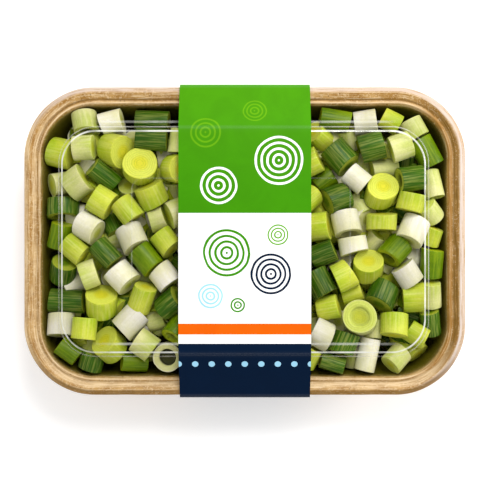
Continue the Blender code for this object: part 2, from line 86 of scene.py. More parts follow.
# Inside, painted shade darkens the wall from this far below the rim, and fully so further down
WALL_SHADE_FROM = 1.0 * MM
WALL_SHADE_FADE = 6 * MM

LID_UNDERSIDE = (
    (7.1, -0.55), (7.6, -0.55), (8.0, -0.1), (9.3, -0.1), (10.2, 0.6), (17.8, 5.0), (18.8, 5.2),
    (20.7, 8.6), (21.6, 9.2), (23.4, 9.2),
)
LID_FILM = 0.35
LID_BEND = 0.45
LID_STEP = 0.6
LID_LEDGE_INSET = 9.3
LID_TOP_INSET = 21.6
# Up to its top the lid leans in by these further amounts on its short and long sides, and shifts
LID_SIDE_EXTRA = (0.65, 1.98)
LID_TOP_SHIFT = (-0.65, -0.42, 0.0)
LID_TOP_CORNER = 16.5
LID_PANEL_HALF = (54.7, 31.5)
LID_PANEL_SHIFT = -1.9 * MM
LID_PANEL_CORNER = 6.0
LID_PANEL_LINE = ((0.8, -0.6), (0.55, -0.55), (0.25, -0.05), (0.0, 0.0))

# Painted highlights where the film's folds would catch the light: inset of the line, half its width, and how
# white it is
LID_GLINTS = ((19.7, 0.4, 0.45), (21.5, 0.42, 0.9))
# A faint painted highlight along the sunk panel's edge, fading out towards the lower side between these places
# across the pack
PANEL_GLINT = 0.16
PANEL_GLINT_FROM = (-28 * MM, -10 * MM)
# The film's gloss comes in between these insets, past the ledge
GLOSS_INSETS = (11.0, 18.5)
# Two faint painted reflections of the top's crease along the long sides: where they lie across the pack, and
# how far along it they run
REFLECTED_LINES = (59.9 * MM, -51.4 * MM)
REFLECTED_HALF = 0.9 * MM
REFLECTED_REACH = (66 * MM, 78 * MM)
REFLECTED_GLINT = 0.34

# Half of the sleeve's inner line, from the middle of the base up to the middle of the top:
# how far out, how high above the rim, and the reach of the crease there, in millimetres
SLEEVE_FOLDS = ((63.6, -40.3, 1.2), (79.1, -4.4, 3.2), (79.1, -0.6, 0.6), (78.0, 0.4, 0.6), (56.4, 10.1, 0.9))
SLEEVE_BOARD = 0.5
SLEEVE_STEP = 2.0
SLEEVE_COLUMNS = 16
SEAM_PLACE = 11.0
SEAM_DEPTH = 0.2

# Points round a rounded rectangle
CORNER_STEPS = 26
LONG_STEPS = 56
SHORT_STEPS = 32

# The leek rounds seen through the lid, as they lie: middle in millimetres along X and Y, kind of cut
# (W white, P pale, L lime, M mid green, D dark green), the way the stalk points in degrees and how
# steeply it stands, across and along the stalk in millimetres, and the middle's height above the rim
SEEN_ROUNDS = (
    (-81.5, 61, "P", -75, 18, 14, 12, -2), (-69, 62.5, "W", 15, 5, 12.5, 12.5, -2),
    (-48.5, 62.5, "D", 2, 3, 11.5, 19, -3), (-48.5, 50, "D", 0, 3, 12.5, 18, -3),
    (-33.5, 50.5, "P", 80, 5, 13, 13, -2), (-95.5, 45.5, "L", -12, 8, 16, 12.5, -1),
    (-80.5, 46, "P", 0, 10, 13, 12, 0), (-66, 44.5, "L", -18, 50, 18, 12, 0),
    (-53, 38, "L", 62, 66, 19, 11, 2), (-35.5, 37, "L", 0, 55, 15, 11, -1),
    (-48.3, 23.5, "L", 112, 30, 16.5, 12, 0), (-85, 29.5, "P", 33, 12, 16.5, 12, 0),
    (-96.5, 30.5, "P", 185, 20, 12.5, 13, -3), (-72, 33, "D", -32, -8, 12, 17, -4),
    (-93, 18.3, "D", -90, 18, 17.5, 10.5, -1), (-72, 19.3, "L", -36, 3, 15.3, 12.5, 2),
    (-59, 14, "L", -50, 10, 13.5, 13, -1), (-44.8, 11.7, "P", 20, 2, 12.5, 9.5, -2),
    (-35.5, 14.5, "P", 200, 20, 15, 12, -3), (-80.5, 5.3, "W", -30, 12, 15, 12.5, 1),
    (-57, 2.2, "W", -75, 28, 15, 13, 1), (-96.5, 2.3, "M", 88, 5, 12, 13.5, -2),
    (-87.5, -3, "L", -35, 3, 12, 13.5, -1), (-39.5, 2.5, "L", -50, 15, 13, 13, -1),
    (-71, -6.3, "D", -50, 12, 13, 14.5, 0), (-50, -9, "M", -50, 12, 13.5, 14, -2),
    (-62, -18.5, "W", -45, 5, 15.2, 13.5, 2), (-81, -17.3, "P", 202, 8, 15.5, 9.5, 0),
    (-95.3, -16, "D", 62, 28, 14, 13, -2), (-42, -17.3, "W", -55, 12, 14, 12, 1),
    (-72.5, -32.3, "L", 90, 45, 17.5, 12, 1), (-91, -31.3, "D", 0, 2, 13, 19.5, -3),
    (-52.5, -29, "L", 78, 20, 13, 14.5, -1), (-39.3, -31.5, "D", 32, 20, 13.5, 13.5, -2),
    (-57.5, -41.2, "W", -138, 20, 14.5, 14.5, 2), (-94.5, -44, "W", -92, 14, 14.5, 12, -1),
    (-79.7, -45, "L", -86, 3, 14, 12, -2), (-71, -53.8, "L", 118, 48, 17, 12, 1),
    (-50.5, -53.5, "P", -37, 5, 15, 11.5, 1), (-90.3, -57.3, "M", -48, 8, 11, 13, -2),
    (-77.5, -63.5, "D", -80, 5, 13, 10, -3), (-58, -64, "M", 178, 5, 10, 14, -4),
    (-40, -61.3, "W", 90, 80, 15.5, 12, -1), (-36.5, -42, "M", -122, 25, 13.5, 13, 0),
    (46, 61.5, "M", 0, 2, 11, 17, -3), (62, 61.2, "W", 17, 5, 13, 12, -1),
    (75, 61.8, "L", -33, 8, 11.5, 10.5, -3), (87, 60, "P", -60, 12, 12.5, 11, -2),
    (47.5, 44.3, "D", -52, 18, 15, 16, 1), (64.5, 47.3, "D", 12, 12, 15, 13.5, 0),
    (80.5, 49, "P", 25, 10, 14.5, 11.5, 0), (94, 45.5, "M", -63, 10, 13, 16.5, -2),
    (42, 51.5, "L", 140, 35, 13, 11, -4), (34.5, 37.5, "L", 18, 5, 15.5, 12.5, -1),
    (57, 30.7, "W", -38, 8, 13.5, 12, 0), (73, 37.5, "P", 8, 2, 10.5, 14.5, -4),
    (84.5, 30.7, "D", 180, 20, 13.5, 13.5, -1), (69, 25, "L", 86, 55, 17.3, 12, 2),
    (47, 21.5, "D", 203, 14, 15.5, 13, 1), (83.5, 18.4, "L", 82, 3, 14.5, 10.5, 0),
    (94.5, 28, "P", -90, 10, 10.5, 15, -2), (97.5, 15.3, "P", 125, 30, 12, 11, -2),
    (52.8, 8.7, "W", -88, 36, 15.3, 12.5, 0), (69, 10.2, "L", 88, 0, 16, 10.5, 0),
    (86.5, 6, "W", -112, 22, 15, 14, 1), (37.5, 6.7, "L", 8, 5, 15.5, 13, 0),
    (56, -1.5, "W", -84, 10, 16, 10, 1), (76, -4.3, "M", -128, 32, 14.5, 13, -1),
    (40.5, -7.5, "D", 12, 8, 13, 14, -1), (64, -13.3, "L", 88, 44, 16.3, 12, 0),
    (82.5, -16.7, "W", -45, 4, 13.5, 11.5, 1), (50, -17.2, "L", 28, 3, 16, 11, 2),
    (97.2, -10.5, "M", 88, 8, 13, 16, -2), (39, -22.7, "D", -57, 12, 14, 14, -1),
    (70.5, -26.7, "D", -117, 28, 16, 13, 1), (89, -28.8, "L", 4, 3, 15.5, 12, 0),
    (98, -28, "P", 98, 20, 11, 14, -3), (58, -39.3, "P", 90, 86, 18.2, 12.5, 2),
    (43.7, -34, "L", 28, 10, 13.5, 12, -1), (77, -43.3, "L", -82, 16, 15, 12, 1),
    (40.3, -46, "W", -33, 4, 15.5, 11.5, 1), (50.5, -52.3, "D", -112, 3, 14.5, 13, -1),
    (63.7, -58.5, "W", 86, 2, 11, 17.5, 0), (88.5, -47.5, "L", -35, 12, 12, 12, -3),
    (79.5, -61, "P", -132, 12, 12.5, 11.5, -1), (43, -64.5, "D", -4, 2, 9.5, 14, -3),
    (91, -56, "L", -60, 15, 12.5, 12, -3), (97, -43.5, "D", 88, 6, 11, 13, -3),
    (35.5, -59, "L", 60, 10, 12, 12, -3),
    (-68, 55, "W", 0, 5, 10, 12, -7), (-62, 26, "P", 100, 60, 11, 10, -8),
    (-38.5, 25.5, "P", 90, 20, 10, 11, -7), (-68, 7, "D", -60, 30, 11, 11, -8),
    (-62, -32.5, "D", 90, 20, 10, 11, -8), (-69.5, -43, "D", 60, 20, 10, 11, -9),
    (-46, -41.5, "P", 20, 10, 11, 11, -8), (-84, -52, "L", 20, 10, 10, 11, -8),
    (55, 53, "P", 80, 20, 10, 11, -8), (58.5, 18, "P", -60, 5, 10, 12, -8),
    (67.5, 1, "P", 40, 10, 11, 12, -8), (98, 4, "L", 80, 20, 10.5, 10, -5),
    (56.5, -27.5, "L", 20, 5, 10, 12, -9), (66.5, -47, "P", 90, 10, 10, 11, -8),
    (53.5, -64.3, "P", 90, 10, 9.5, 9, -6), (84, 40, "D", 80, 20, 11, 12, -8),
)
# Which of them are open at the core, counted from the first, and how far the core is sunk as a share
# of half the length
HOLLOW_ROUNDS = {0: 0.6, 14: 0.6, 42: 0.95, 43: 0.7, 56: 0.6, 60: 0.3, 62: 0.5, 67: 0.6, 77: 0.28}

# How the rest of the heap is drawn and how all of it settles
SEED = 4
KINDS = ("W", "P", "L", "M", "D")
KIND_SHARES = (0.20, 0.22, 0.28, 0.10, 0.20)
HIDDEN_COLUMNS = (-24 * MM, -8 * MM, 8 * MM, 24 * MM)
HIDDEN_ROWS = 8
ROW_PITCH = 17 * MM
ROW_STAGGER = 4 * MM
TOP_LAYER_DROP = 1 * MM
SCATTER = 2 * MM
DEEPER_ROUNDS = 104
DEEPER_MIDDLE_DROP = 23 * MM
DEEPER_SPREAD = (88 * MM, 55 * MM, 10 * MM)
# A layer of rounds just below the seen ones, laid in rows
FILL_PITCH = 11.5 * MM
FILL_LEVEL = -12.5 * MM
FILL_SCATTER = (3 * MM, 3 * MM, 1.5 * MM)
FILL_RADIUS = (6.0 * MM, 7.5 * MM)
FILL_SEED = 21
FILL_CLEARANCE = 1.35
FILL_HALF_SHARE = 0.9
# Of the rounds that aren't seen, each so many is open at the core, by this share of half its length
OTHER_HOLLOW_EACH = 6
OTHER_HOLLOW_DEPTH = 0.6
ROUND_RADIUS = (6.0 * MM, 7.8 * MM)
ROUND_HALF_LENGTH = (5.6 * MM, 6.6 * MM)
SETTLE_STEPS = 500
FIRST_HOLD = 0.1
LAST_HOLD = 0.01
HOLD_SHARES = (1.0, 1.0, 0.3)
AIM_SHARE = 4.0
LIFT = 0.02 * MM
PUSH = 2.0
SPIN_INERTIA = 0.45
SIDES = 8
WALL_TOP = (9.5 * MM, -2.4 * MM)
WALL_FOOT = (15.5 * MM, -35.0 * MM)
HEAP_FLOOR = -37.7 * MM
HEAP_CEILING_INSET = (9.3 * MM, 10.4 * MM, 19.4 * MM, 20.6 * MM, 23.0 * MM)
HEAP_CEILING_RISE = (-0.1 * MM, 0.6 * MM, 5.0 * MM, 5.2 * MM, 8.5 * MM)

# A round's rings from its lower cut to its upper one: share of the radius, level along the stalk
# from -1 to 1, and how far the cut edge is rounded back there
FACE_SHARES = (0.14, 0.3, 0.47, 0.56, 0.61, 0.72, 0.83, 0.92, 0.965)
EDGE_RINGS = ((0.99, 0.08 * MM), (1.0, 0.32 * MM))
SIDE_LEVELS = (-0.6, -0.2, 0.2, 0.6)
WELL_SHARE = 0.585
SEEN_AROUND = 44
OTHER_AROUND = 18
LEEK_SEED = 5
ANY_TURN = 6.3
# The dressed rounds are this much smaller than the ones that settled, so that they don't touch
LEEK_FIT = 0.975

# Colours as the eye reads them, in sRGB from 0 to 255
FILM_TINT = (222, 222, 214)
BOARD_BARE = (232, 229, 220)
BOARD_SHADOW = (60, 70, 60)
TAN = (190, 151, 93)
TAN_DEEP = (150, 108, 50)
TAN_PALE = (222, 196, 156)
# Painted highlight tones of the rim's lit outer edge and crest, then a painted shade tone
TAN_LIT_EDGE = (199, 179, 162)
TAN_LIT_CREST = (208, 198, 192)
TAN_SHADE = (114, 82, 28)
# Dark specks of the fibre, and painted shade in its grooves and concave bends
TAN_GROOVE = (104, 70, 24)
# Painted shade tone of the tray's inner wall and floor
WALL_SHADE_TONE = (88, 82, 12)
# Painted light and shade along the rim, as lit and shaded bands by the side of the tray and painted
# shade on the inner wall: how far in, half the band's width, tone, how strong, and on which side of
# the tray, as the way that it faces, or all round
RIM_PAINTED_LIGHT_AND_SHADE = (
    (0.8, 2.2, TAN_PALE, 0.45, (-1, 0)), (1.2, 2.6, TAN_LIT_EDGE, 0.9, (1, 0)),
    (2.6, 1.1, TAN_LIT_CREST, 0.6, (1, 0)), (1.0, 2.4, TAN_LIT_EDGE, 0.95, (0, 1)),
    (1.3, 2.1, TAN_SHADE, 0.7, (0, -1)), (3.7, 1.0, TAN_DEEP, 0.3, (-1, 0)),
    (5.0, 1.9, TAN_SHADE, 0.9, (1, 0)), (5.4, 1.6, TAN_PALE, 0.35, (-1, 0)),
    (5.5, 2.2, TAN_PALE, 0.65, (0, -1)), (6.4, 0.8, TAN_GROOVE, 0.7, (0, 1)),
    (8.0, 0.8, TAN_PALE, 0.5, (0, 1)), (8.5, 0.8, TAN_PALE, 0.5, (0, -1)),
    (8.0, 1.5, TAN_DEEP, 1.0, (1, 0)), (9.6, 1.5, WALL_SHADE_TONE, 0.75, (-1, 0)),
    (10.4, 1.5, WALL_SHADE_TONE, 0.55, None),
)
BOARD_WHITE = (250, 250, 248)
INK_GREEN = (60, 138, 0)
INK_GREEN_PALE = (96, 162, 8)
INK_NAVY = (0, 22, 48)
INK_ORANGE = (232, 96, 2)
INK_SKY = (160, 214, 240)
# Each kind of leek: two tones of its side, the lines along it, its cut face and the core of that
LEEK_TONES = {
    "W": ((220, 215, 206), (196, 193, 146), (196, 191, 148), (200, 198, 134), (170, 174, 60)),
    "P": ((209, 206, 145), (166, 180, 65), (217, 211, 167), (193, 201, 92), (186, 190, 48)),
    "L": ((196, 199, 66), (146, 170, 16), (209, 208, 120), (200, 203, 79), (200, 194, 44)),
    "M": ((104, 130, 0), (62, 96, 0), (147, 161, 27), (160, 172, 24), (130, 154, 5)),
    "D": ((59, 97, 4), (34, 70, 2), (149, 155, 70), (154, 163, 47), (95, 122, 9)),
}
# How close the lines along a stalk lie
LINE_SCALES = {"W": 900.0, "P": 900.0, "L": 1000.0, "M": 1100.0, "D": 1400.0}
LEEK_NAMES = {"W": "white", "P": "pale", "L": "lime", "M": "mid_green", "D": "dark_green"}
LEEK_SCATTER = (1.0, 0.9, 0.35)
LEEK_SCATTER_REACH = 2.5 * MM

# Printed fields up the sleeve, in millimetres from the middle of its top, measured round the board
GREEN_FOOT = 13.8
NAVY_HEAD = -51.2
STRIPE = (-46.6, -41.2)
BASE_PRINT_END = 0.8 * MM
# Ring motifs: middle across and along, radius, spacing, width of line, and ink
MOTIFS = (
    (17.0, 40.0, 11.6, 2.9, 1.15, BOARD_WHITE), (-13.0, 27.5, 8.7, 2.9, 1.15, BOARD_WHITE),
    (-19.5, 54.0, 7.2, 2.4, 0.9, INK_GREEN_PALE), (5.0, 66.0, 5.6, 1.9, 0.8, INK_GREEN_PALE),
    (-9.0, -6.0, 12.6, 2.8, 1.2, INK_GREEN), (13.0, -16.5, 9.6, 2.4, 1.1, INK_NAVY),
    (16.5, 3.0, 4.8, 1.6, 0.7, INK_GREEN_PALE), (-17.0, -27.5, 5.7, 1.9, 0.9, INK_SKY),
    (-3.5, -32.0, 3.2, 1.6, 0.8, INK_GREEN),
)
DOT_PITCH = 8.25 * MM
DOT_LINE = (-62.0 * MM, 1.6 * MM)

# The camera stands over the rim and looks straight down
CAMERA_ABOVE_RIM = 0.5
VIEW_WIDTH = 253.9 * MM
VIEW_MIDDLE = (2.6 * MM, -4.6 * MM)
SENSOR = 36.0
FLOOR_SIZE = 3.0
FLOOR_TONES = ((250, 250, 250), (254, 254, 254))
FLOOR_GLOW = 0.24
WORLD_LIGHT = 0.74
# Soft lights: name, place, size and power
SOFTBOXES = (("key", (0.12, 0.38, 0.6), 0.3, 3.3), ("side", (0.6, 0.18, 0.3), 0.25, 1.8))


def linear(tone):
    """A colour of 0 to 255 as the eye reads it, turned into the share of light that it reflects."""
    share = np.array(tone, float) / 255
    light = np.where(share <= 0.04045, share / 12.92, ((share + 0.055) / 1.055) ** 2.4)
    return (*light.tolist(), 1.0)


# Lines and outlines


def softened(line, reach, steps=4):
    """A line in a plane with each corner turned into a short curve.

    The curve starts at a reach before its corner, or nearly half-way along a shorter stretch, ends as
    far after it, and follows (1-t)^2 before + 2t(1-t) corner + t^2 after. A reach may be a list.
    """
    points = np.array(line, float)
    stretch = np.diff(points, axis=0)
    length = np.linalg.norm(stretch, axis=1)
    reach = np.broadcast_to(reach, len(points) - 2)
    before = points[1:-1] - stretch[:-1] * np.minimum(reach / length[:-1], 0.45)[:, None]
    after = points[1:-1] + stretch[1:] * np.minimum(reach / length[1:], 0.45)[:, None]
    t = np.linspace(0, 1, steps + 1)[None, :, None]
    curve = (1 - t) ** 2 * before[:, None] + 2 * t * (1 - t) * points[1:-1, None] + t**2 * after[:, None]
    return np.vstack([points[:1], curve.reshape(-1, 2), points[-1:]])


def divided(line, longest):
    """The same line with points added, so that no stretch is longer than that, and without points
    that nearly meet."""
    walked = run_of(line)
    marks = np.union1d(walked, np.arange(0, walked[-1], longest))
    marks = marks[np.diff(marks, prepend=-1) > longest / MERGE_PARTS]
    return np.stack([np.interp(marks, walked, line[:, k]) for k in range(2)], axis=1)


def run_of(line):
    """How far along the line each of its points is."""
    return np.concatenate([[0], np.cumsum(np.linalg.norm(np.diff(line, axis=0), axis=1))])


def left_of(line, distance):
    """The line moved sideways to its left by a distance, with mitred corners."""
    along = np.diff(line, axis=0)
    along /= np.linalg.norm(along, axis=1, keepdims=True)
    left = np.stack([-along[:, 1], along[:, 0]], axis=1)
    before = np.vstack([left[:1], left])
    after = np.vstack([left, left[-1:]])
    return line + distance * (before + after) / (1 + (before * after).sum(axis=1, keepdims=True))


def bend_of(line):
    """How sharply the line turns at each point, above 0 where it turns right and 0 at its ends."""
    along = np.diff(line, axis=0)
    heading = np.unwrap(np.arctan2(along[:, 1], along[:, 0]))
    turn = -np.diff(heading) / (np.linalg.norm(along[1:], axis=1) + np.linalg.norm(along[:-1], axis=1))
    return np.concatenate([[0], turn, [0]])


def outline_walk():
    """Round a rounded rectangle, anticlockwise: the place of each point's corner middle, as a share of
    the half sides, and the way straight out. Corners turn evenly, and the sides run evenly."""
    signs = np.array([(1, 1), (-1, 1), (-1, -1), (1, -1)], float)
    places = []
    ways = []
    for quarter in range(4):
        turn = np.pi / 2 * (quarter + np.linspace(0, 1, CORNER_STEPS + 1))
        ways.append(np.stack([np.cos(turn), np.sin(turn)], axis=1))
        places.append(np.repeat(signs[quarter : quarter + 1], CORNER_STEPS + 1, axis=0))
        steps = SHORT_STEPS if quarter % 2 else LONG_STEPS
        share = np.linspace(0, 1, steps + 1)[1:-1, None]
        places.append(signs[quarter] + share * (signs[(quarter + 1) % 4] - signs[quarter]))
        ways.append(np.repeat(ways[-1][-1:], steps - 1, axis=0))
    return np.vstack(places), np.vstack(ways)


PLACES, WAYS = outline_walk()


def outlines(half_x, half_y, corner, height):
    """Rounded rectangles, one to a row: place * (half side - corner) + corner * way, at a height."""
    half_x, half_y, corner, height = np.broadcast_arrays(half_x, half_y, corner, height)
    reach = np.stack([half_x - corner, half_y - corner], axis=1)[:, None]
    flat = PLACES * reach + corner[:, None, None] * WAYS
    level = np.broadcast_to(height[:, None, None], (*flat.shape[:2], 1))
    return np.concatenate([flat, level], axis=2)


# Meshes


def skin(name, rings, marks, material, poles=True):
    """A closed surface through rings of points, in the shape (pieces, rings, points, 3).

    Quads join each ring to the next. With poles, the first and the last ring of each piece close on
    their middle point; without, the last ring joins the first. Marks are attributes of the points.
    """
    pieces, count, around = rings.shape[:3]
    body = np.arange(pieces * count * around).reshape(pieces, count, around)
    ahead = np.roll(body, -1, axis=2)
    if poles:
        quads = np.stack([body[:, :-1], ahead[:, :-1], ahead[:, 1:], body[:, 1:]], axis=-1)
        first = np.broadcast_to((body.size + np.arange(pieces))[:, None], (pieces, around))
        caps = [
            np.stack([first, ahead[:, 0], body[:, 0]], axis=-1),
            np.stack([first + pieces, body[:, -1], ahead[:, -1]], axis=-1),
        ]
        triangles = np.concatenate(caps).reshape(-1, 3).tolist()
    else:
        above = np.roll(body, -1, axis=1)
        quads = np.stack([body, ahead, np.roll(above, -1, axis=2), above], axis=-1)
        triangles = []

    def with_poles(values):
        flat = values.reshape(-1, *values.shape[3:])
        if not poles:
            return flat
        return np.concatenate([flat, values[:, 0].mean(axis=1), values[:, -1].mean(axis=1)])

    mesh = bpy.data.meshes.new(name)
    mesh.from_pydata(with_poles(rings).tolist(), [], quads.reshape(-1, 4).tolist() + triangles)
    mesh.shade_smooth()
    for mark, values in marks.items():
        values = np.broadcast_to(values, rings.shape if values.ndim == 4 else rings.shape[:3])
        kind, field = ("FLOAT_VECTOR", "vector") if values.ndim == 4 else ("FLOAT", "value")
        layer = mesh.attributes.new(mark, kind, "POINT")
        layer.data.foreach_set(field, with_poles(values).astype(np.float32).ravel())
    mesh.materials.append(material)
    piece = bpy.data.objects.new(name, mesh)
    bpy.context.scene.collection.objects.link(piece)
    return piece


def dress(piece, node):
    """The piece stands in for a node, whose own mesh is hidden, and goes with the pack."""
    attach(piece, "root")
    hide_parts(node)


def waves(points, scale, seed):
    """A smooth uneven field from -1 to 1: the mean of sines that run in drawn directions."""
    draw = np.random.default_rng(seed)
    ways = draw.normal(size=(7, 3))
    ways /= np.linalg.norm(ways, axis=1, keepdims=True)
    ways *= draw.uniform(0.6, 1.7, (7, 1)) * 2 * np.pi / scale
    return np.sin(points @ ways.T + draw.uniform(0, 2 * np.pi, 7)).mean(axis=-1) * 2


# Node trees


def node(tree, kind, inputs=None, **settings):
    """A node with its settings, its inputs set to values or linked from sockets."""
    made = tree.nodes.new(kind)
    for key, value in settings.items():
        setattr(made, key, value)
    for key, value in (inputs or {}).items():
        if isinstance(value, bpy.types.NodeSocket):
            tree.links.new(value, made.inputs[key])
        else:
            made.inputs[key].default_value = value
    return made


def sum_of(tree, operation, first, second=0.0, third=0.0, clamp=False):
    inputs = {0: first, 1: second, 2: third}
    return node(tree, "ShaderNodeMath", inputs, operation=operation, use_clamp=clamp).outputs[0]


def product(tree, first, second):
    return sum_of(tree, "MULTIPLY", first, second)


def off_from(tree, value, middle):
    """How far a value lies from a middle, either way."""
    return sum_of(tree, "ABSOLUTE", sum_of(tree, "SUBTRACT", value, middle))


def vector_of(tree, operation, first, second=(0, 0, 0), scale=None):
    inputs = {0: first}
    if scale is None:
        inputs[1] = second
    else:
        inputs["Scale"] = scale
    made = node(tree, "ShaderNodeVectorMath", inputs, operation=operation)
    return made.outputs["Value" if operation in ("LENGTH", "DISTANCE", "DOT_PRODUCT") else "Vector"]


def blend_of(tree, share, first, second, way="MIX"):
    """A colour between two, or two put together in another way."""
    made = node(tree, "ShaderNodeMix", {0: share, 6: first, 7: second}, data_type="RGBA", blend_type=way)
    return made.outputs[2]


def ramp_of(tree, value, low, high, to_low=0.0, to_high=1.0):
    """A value taken smoothly from one range to another and held at its ends."""
    inputs = {"Value": value, "From Min": low, "From Max": high, "To Min": to_low, "To Max": to_high}
    return node(tree, "ShaderNodeMapRange", inputs, interpolation_type="SMOOTHSTEP").outputs[0]


def noise_of(tree, place, scale, detail=3.0, roughness=0.55, twist=0.0):
    inputs = {"Vector": place, "Scale": scale, "Detail": detail, "Roughness": roughness, "Distortion": twist}
    return node(tree, "ShaderNodeTexNoise", inputs).outputs[0]


def attribute(tree, name, vector=False):
    made = node(tree, "ShaderNodeAttribute", attribute_name=name)
    return made.outputs["Vector" if vector else "Fac"]


def object_place(tree):
    return node(tree, "ShaderNodeTexCoord").outputs["Object"]


def new_group(name, inputs, outputs):
    """A node group with named sockets; it returns its tree and the inner ends of its sockets."""
    tree = bpy.data.node_groups.new(name, "ShaderNodeTree")
    for label, kind in inputs:
        tree.interface.new_socket(label, in_out="INPUT", socket_type=kind)
    for label, kind in outputs:
        tree.interface.new_socket(label, in_out="OUTPUT", socket_type=kind)
    return tree, tree.nodes.new("NodeGroupInput").outputs, tree.nodes.new("NodeGroupOutput").inputs


def use_group(tree, group, **inputs):
    made = tree.nodes.new("ShaderNodeGroup")
    made.node_tree = group
    for label, value in inputs.items():
        label = label.replace("_", " ").capitalize()
        if isinstance(value, bpy.types.NodeSocket):
            tree.links.new(value, made.inputs[label])
        else:
            made.inputs[label].default_value = value
    return made.outputs


def make_mottle():
    """Uneven matter: broad clouds, and finer grain inside them."""
    tree, given, out = new_group(
        "mottle",
        [("Place", "NodeSocketVector"), ("Broad", "NodeSocketFloat"), ("Fine", "NodeSocketFloat")],
        [("Clouds", "NodeSocketFloat"), ("Grain", "NodeSocketFloat")],
    )
    broad = noise_of(tree, given["Place"], given["Broad"], 4.0, 0.6, 0.6)
    tree.links.new(ramp_of(tree, broad, 0.32, 0.68), out["Clouds"])
    tree.links.new(noise_of(tree, given["Place"], given["Fine"], 5.0, 0.65), out["Grain"])
    return tree


def make_grown_lines():
    """Lines that run along a stalk: noise on the stalk's own coordinates, drawn out along it."""
    tree, given, out = new_group(
        "grown_lines",
        [("Place", "NodeSocketVector"), ("Scale", "NodeSocketFloat"), ("Stretch", "NodeSocketFloat")],
        [("Lines", "NodeSocketFloat"), ("Height", "NodeSocketFloat")],
    )
    parts = node(tree, "ShaderNodeSeparateXYZ", {0: given["Place"]}).outputs
    along = sum_of(tree, "MULTIPLY", parts[2], given["Stretch"])
    drawn = node(tree, "ShaderNodeCombineXYZ", {0: parts[0], 1: parts[1], 2: along}).outputs[0]
    coarse = noise_of(tree, drawn, given["Scale"], 2.0, 0.5)
    tree.links.new(ramp_of(tree, coarse, 0.42, 0.66), out["Lines"])
    twice = sum_of(tree, "MULTIPLY", given["Scale"], 2.3)
    tree.links.new(noise_of(tree, drawn, twice, 3.0, 0.6), out["Height"])
    return tree


def make_cut_rings():
    """The rings on a cut stalk: waves of the radius, made uneven, that fade towards the core."""
    tree, given, out = new_group(
        "cut_rings",
        [("Place", "NodeSocketVector"), ("Radius", "NodeSocketFloat"), ("Rings", "NodeSocketFloat")],
        [("Lines", "NodeSocketFloat"), ("Core", "NodeSocketFloat")],
    )
    uneven = noise_of(tree, given["Place"], 260.0, 2.0)
    moved = sum_of(tree, "MULTIPLY_ADD", uneven, 0.16, given["Radius"])
    turn = sum_of(tree, "MULTIPLY", moved, given["Rings"])
    wave = sum_of(tree, "SINE", sum_of(tree, "MULTIPLY", turn, 2 * math.pi))
    tree.links.new(ramp_of(tree, wave, -0.2, 1.0), out["Lines"])
    tree.links.new(ramp_of(tree, moved, 0.68, 0.36), out["Core"])
    return tree


def make_ring_mark():
    """Printed rings like a cut stalk's: lines at even spacings round a middle, out to a radius."""
    tree, given, out = new_group(
        "ring_mark",
        [
            ("Place", "NodeSocketVector"), ("Middle", "NodeSocketVector"), ("Radius", "NodeSocketFloat"),
            ("Spacing", "NodeSocketFloat"), ("Line", "NodeSocketFloat"),
        ],
        [("Lines", "NodeSocketFloat"), ("Disc", "NodeSocketFloat")],
    )
    away = vector_of(tree, "DISTANCE", given["Place"], given["Middle"])
    half = sum_of(tree, "MULTIPLY", given["Line"], 0.5)
    nearest = sum_of(tree, "PINGPONG", away, sum_of(tree, "MULTIPLY", given["Spacing"], 0.5))
    line = sum_of(tree, "LESS_THAN", nearest, half)
    disc = sum_of(tree, "LESS_THAN", away, sum_of(tree, "ADD", given["Radius"], half))
    tree.links.new(sum_of(tree, "MULTIPLY", line, disc), out["Lines"])
    tree.links.new(disc, out["Disc"])
    return tree


MOTTLE = make_mottle()
GROWN_LINES = make_grown_lines()
CUT_RINGS = make_cut_rings()
RING_MARK = make_ring_mark()


def new_material(name, roughness):
    material = bpy.data.materials.new(name)
    material.use_nodes = True
    tree = material.node_tree
    shader = tree.nodes["Principled BSDF"]
    shader.inputs["Roughness"].default_value = roughness
    return material, tree, shader


def put_bump(tree, shader, height, strength, distance):
    inputs = {"Height": height, "Strength": strength, "Distance": distance}
    tree.links.new(node(tree, "ShaderNodeBump", inputs).outputs[0], shader.inputs["Normal"])


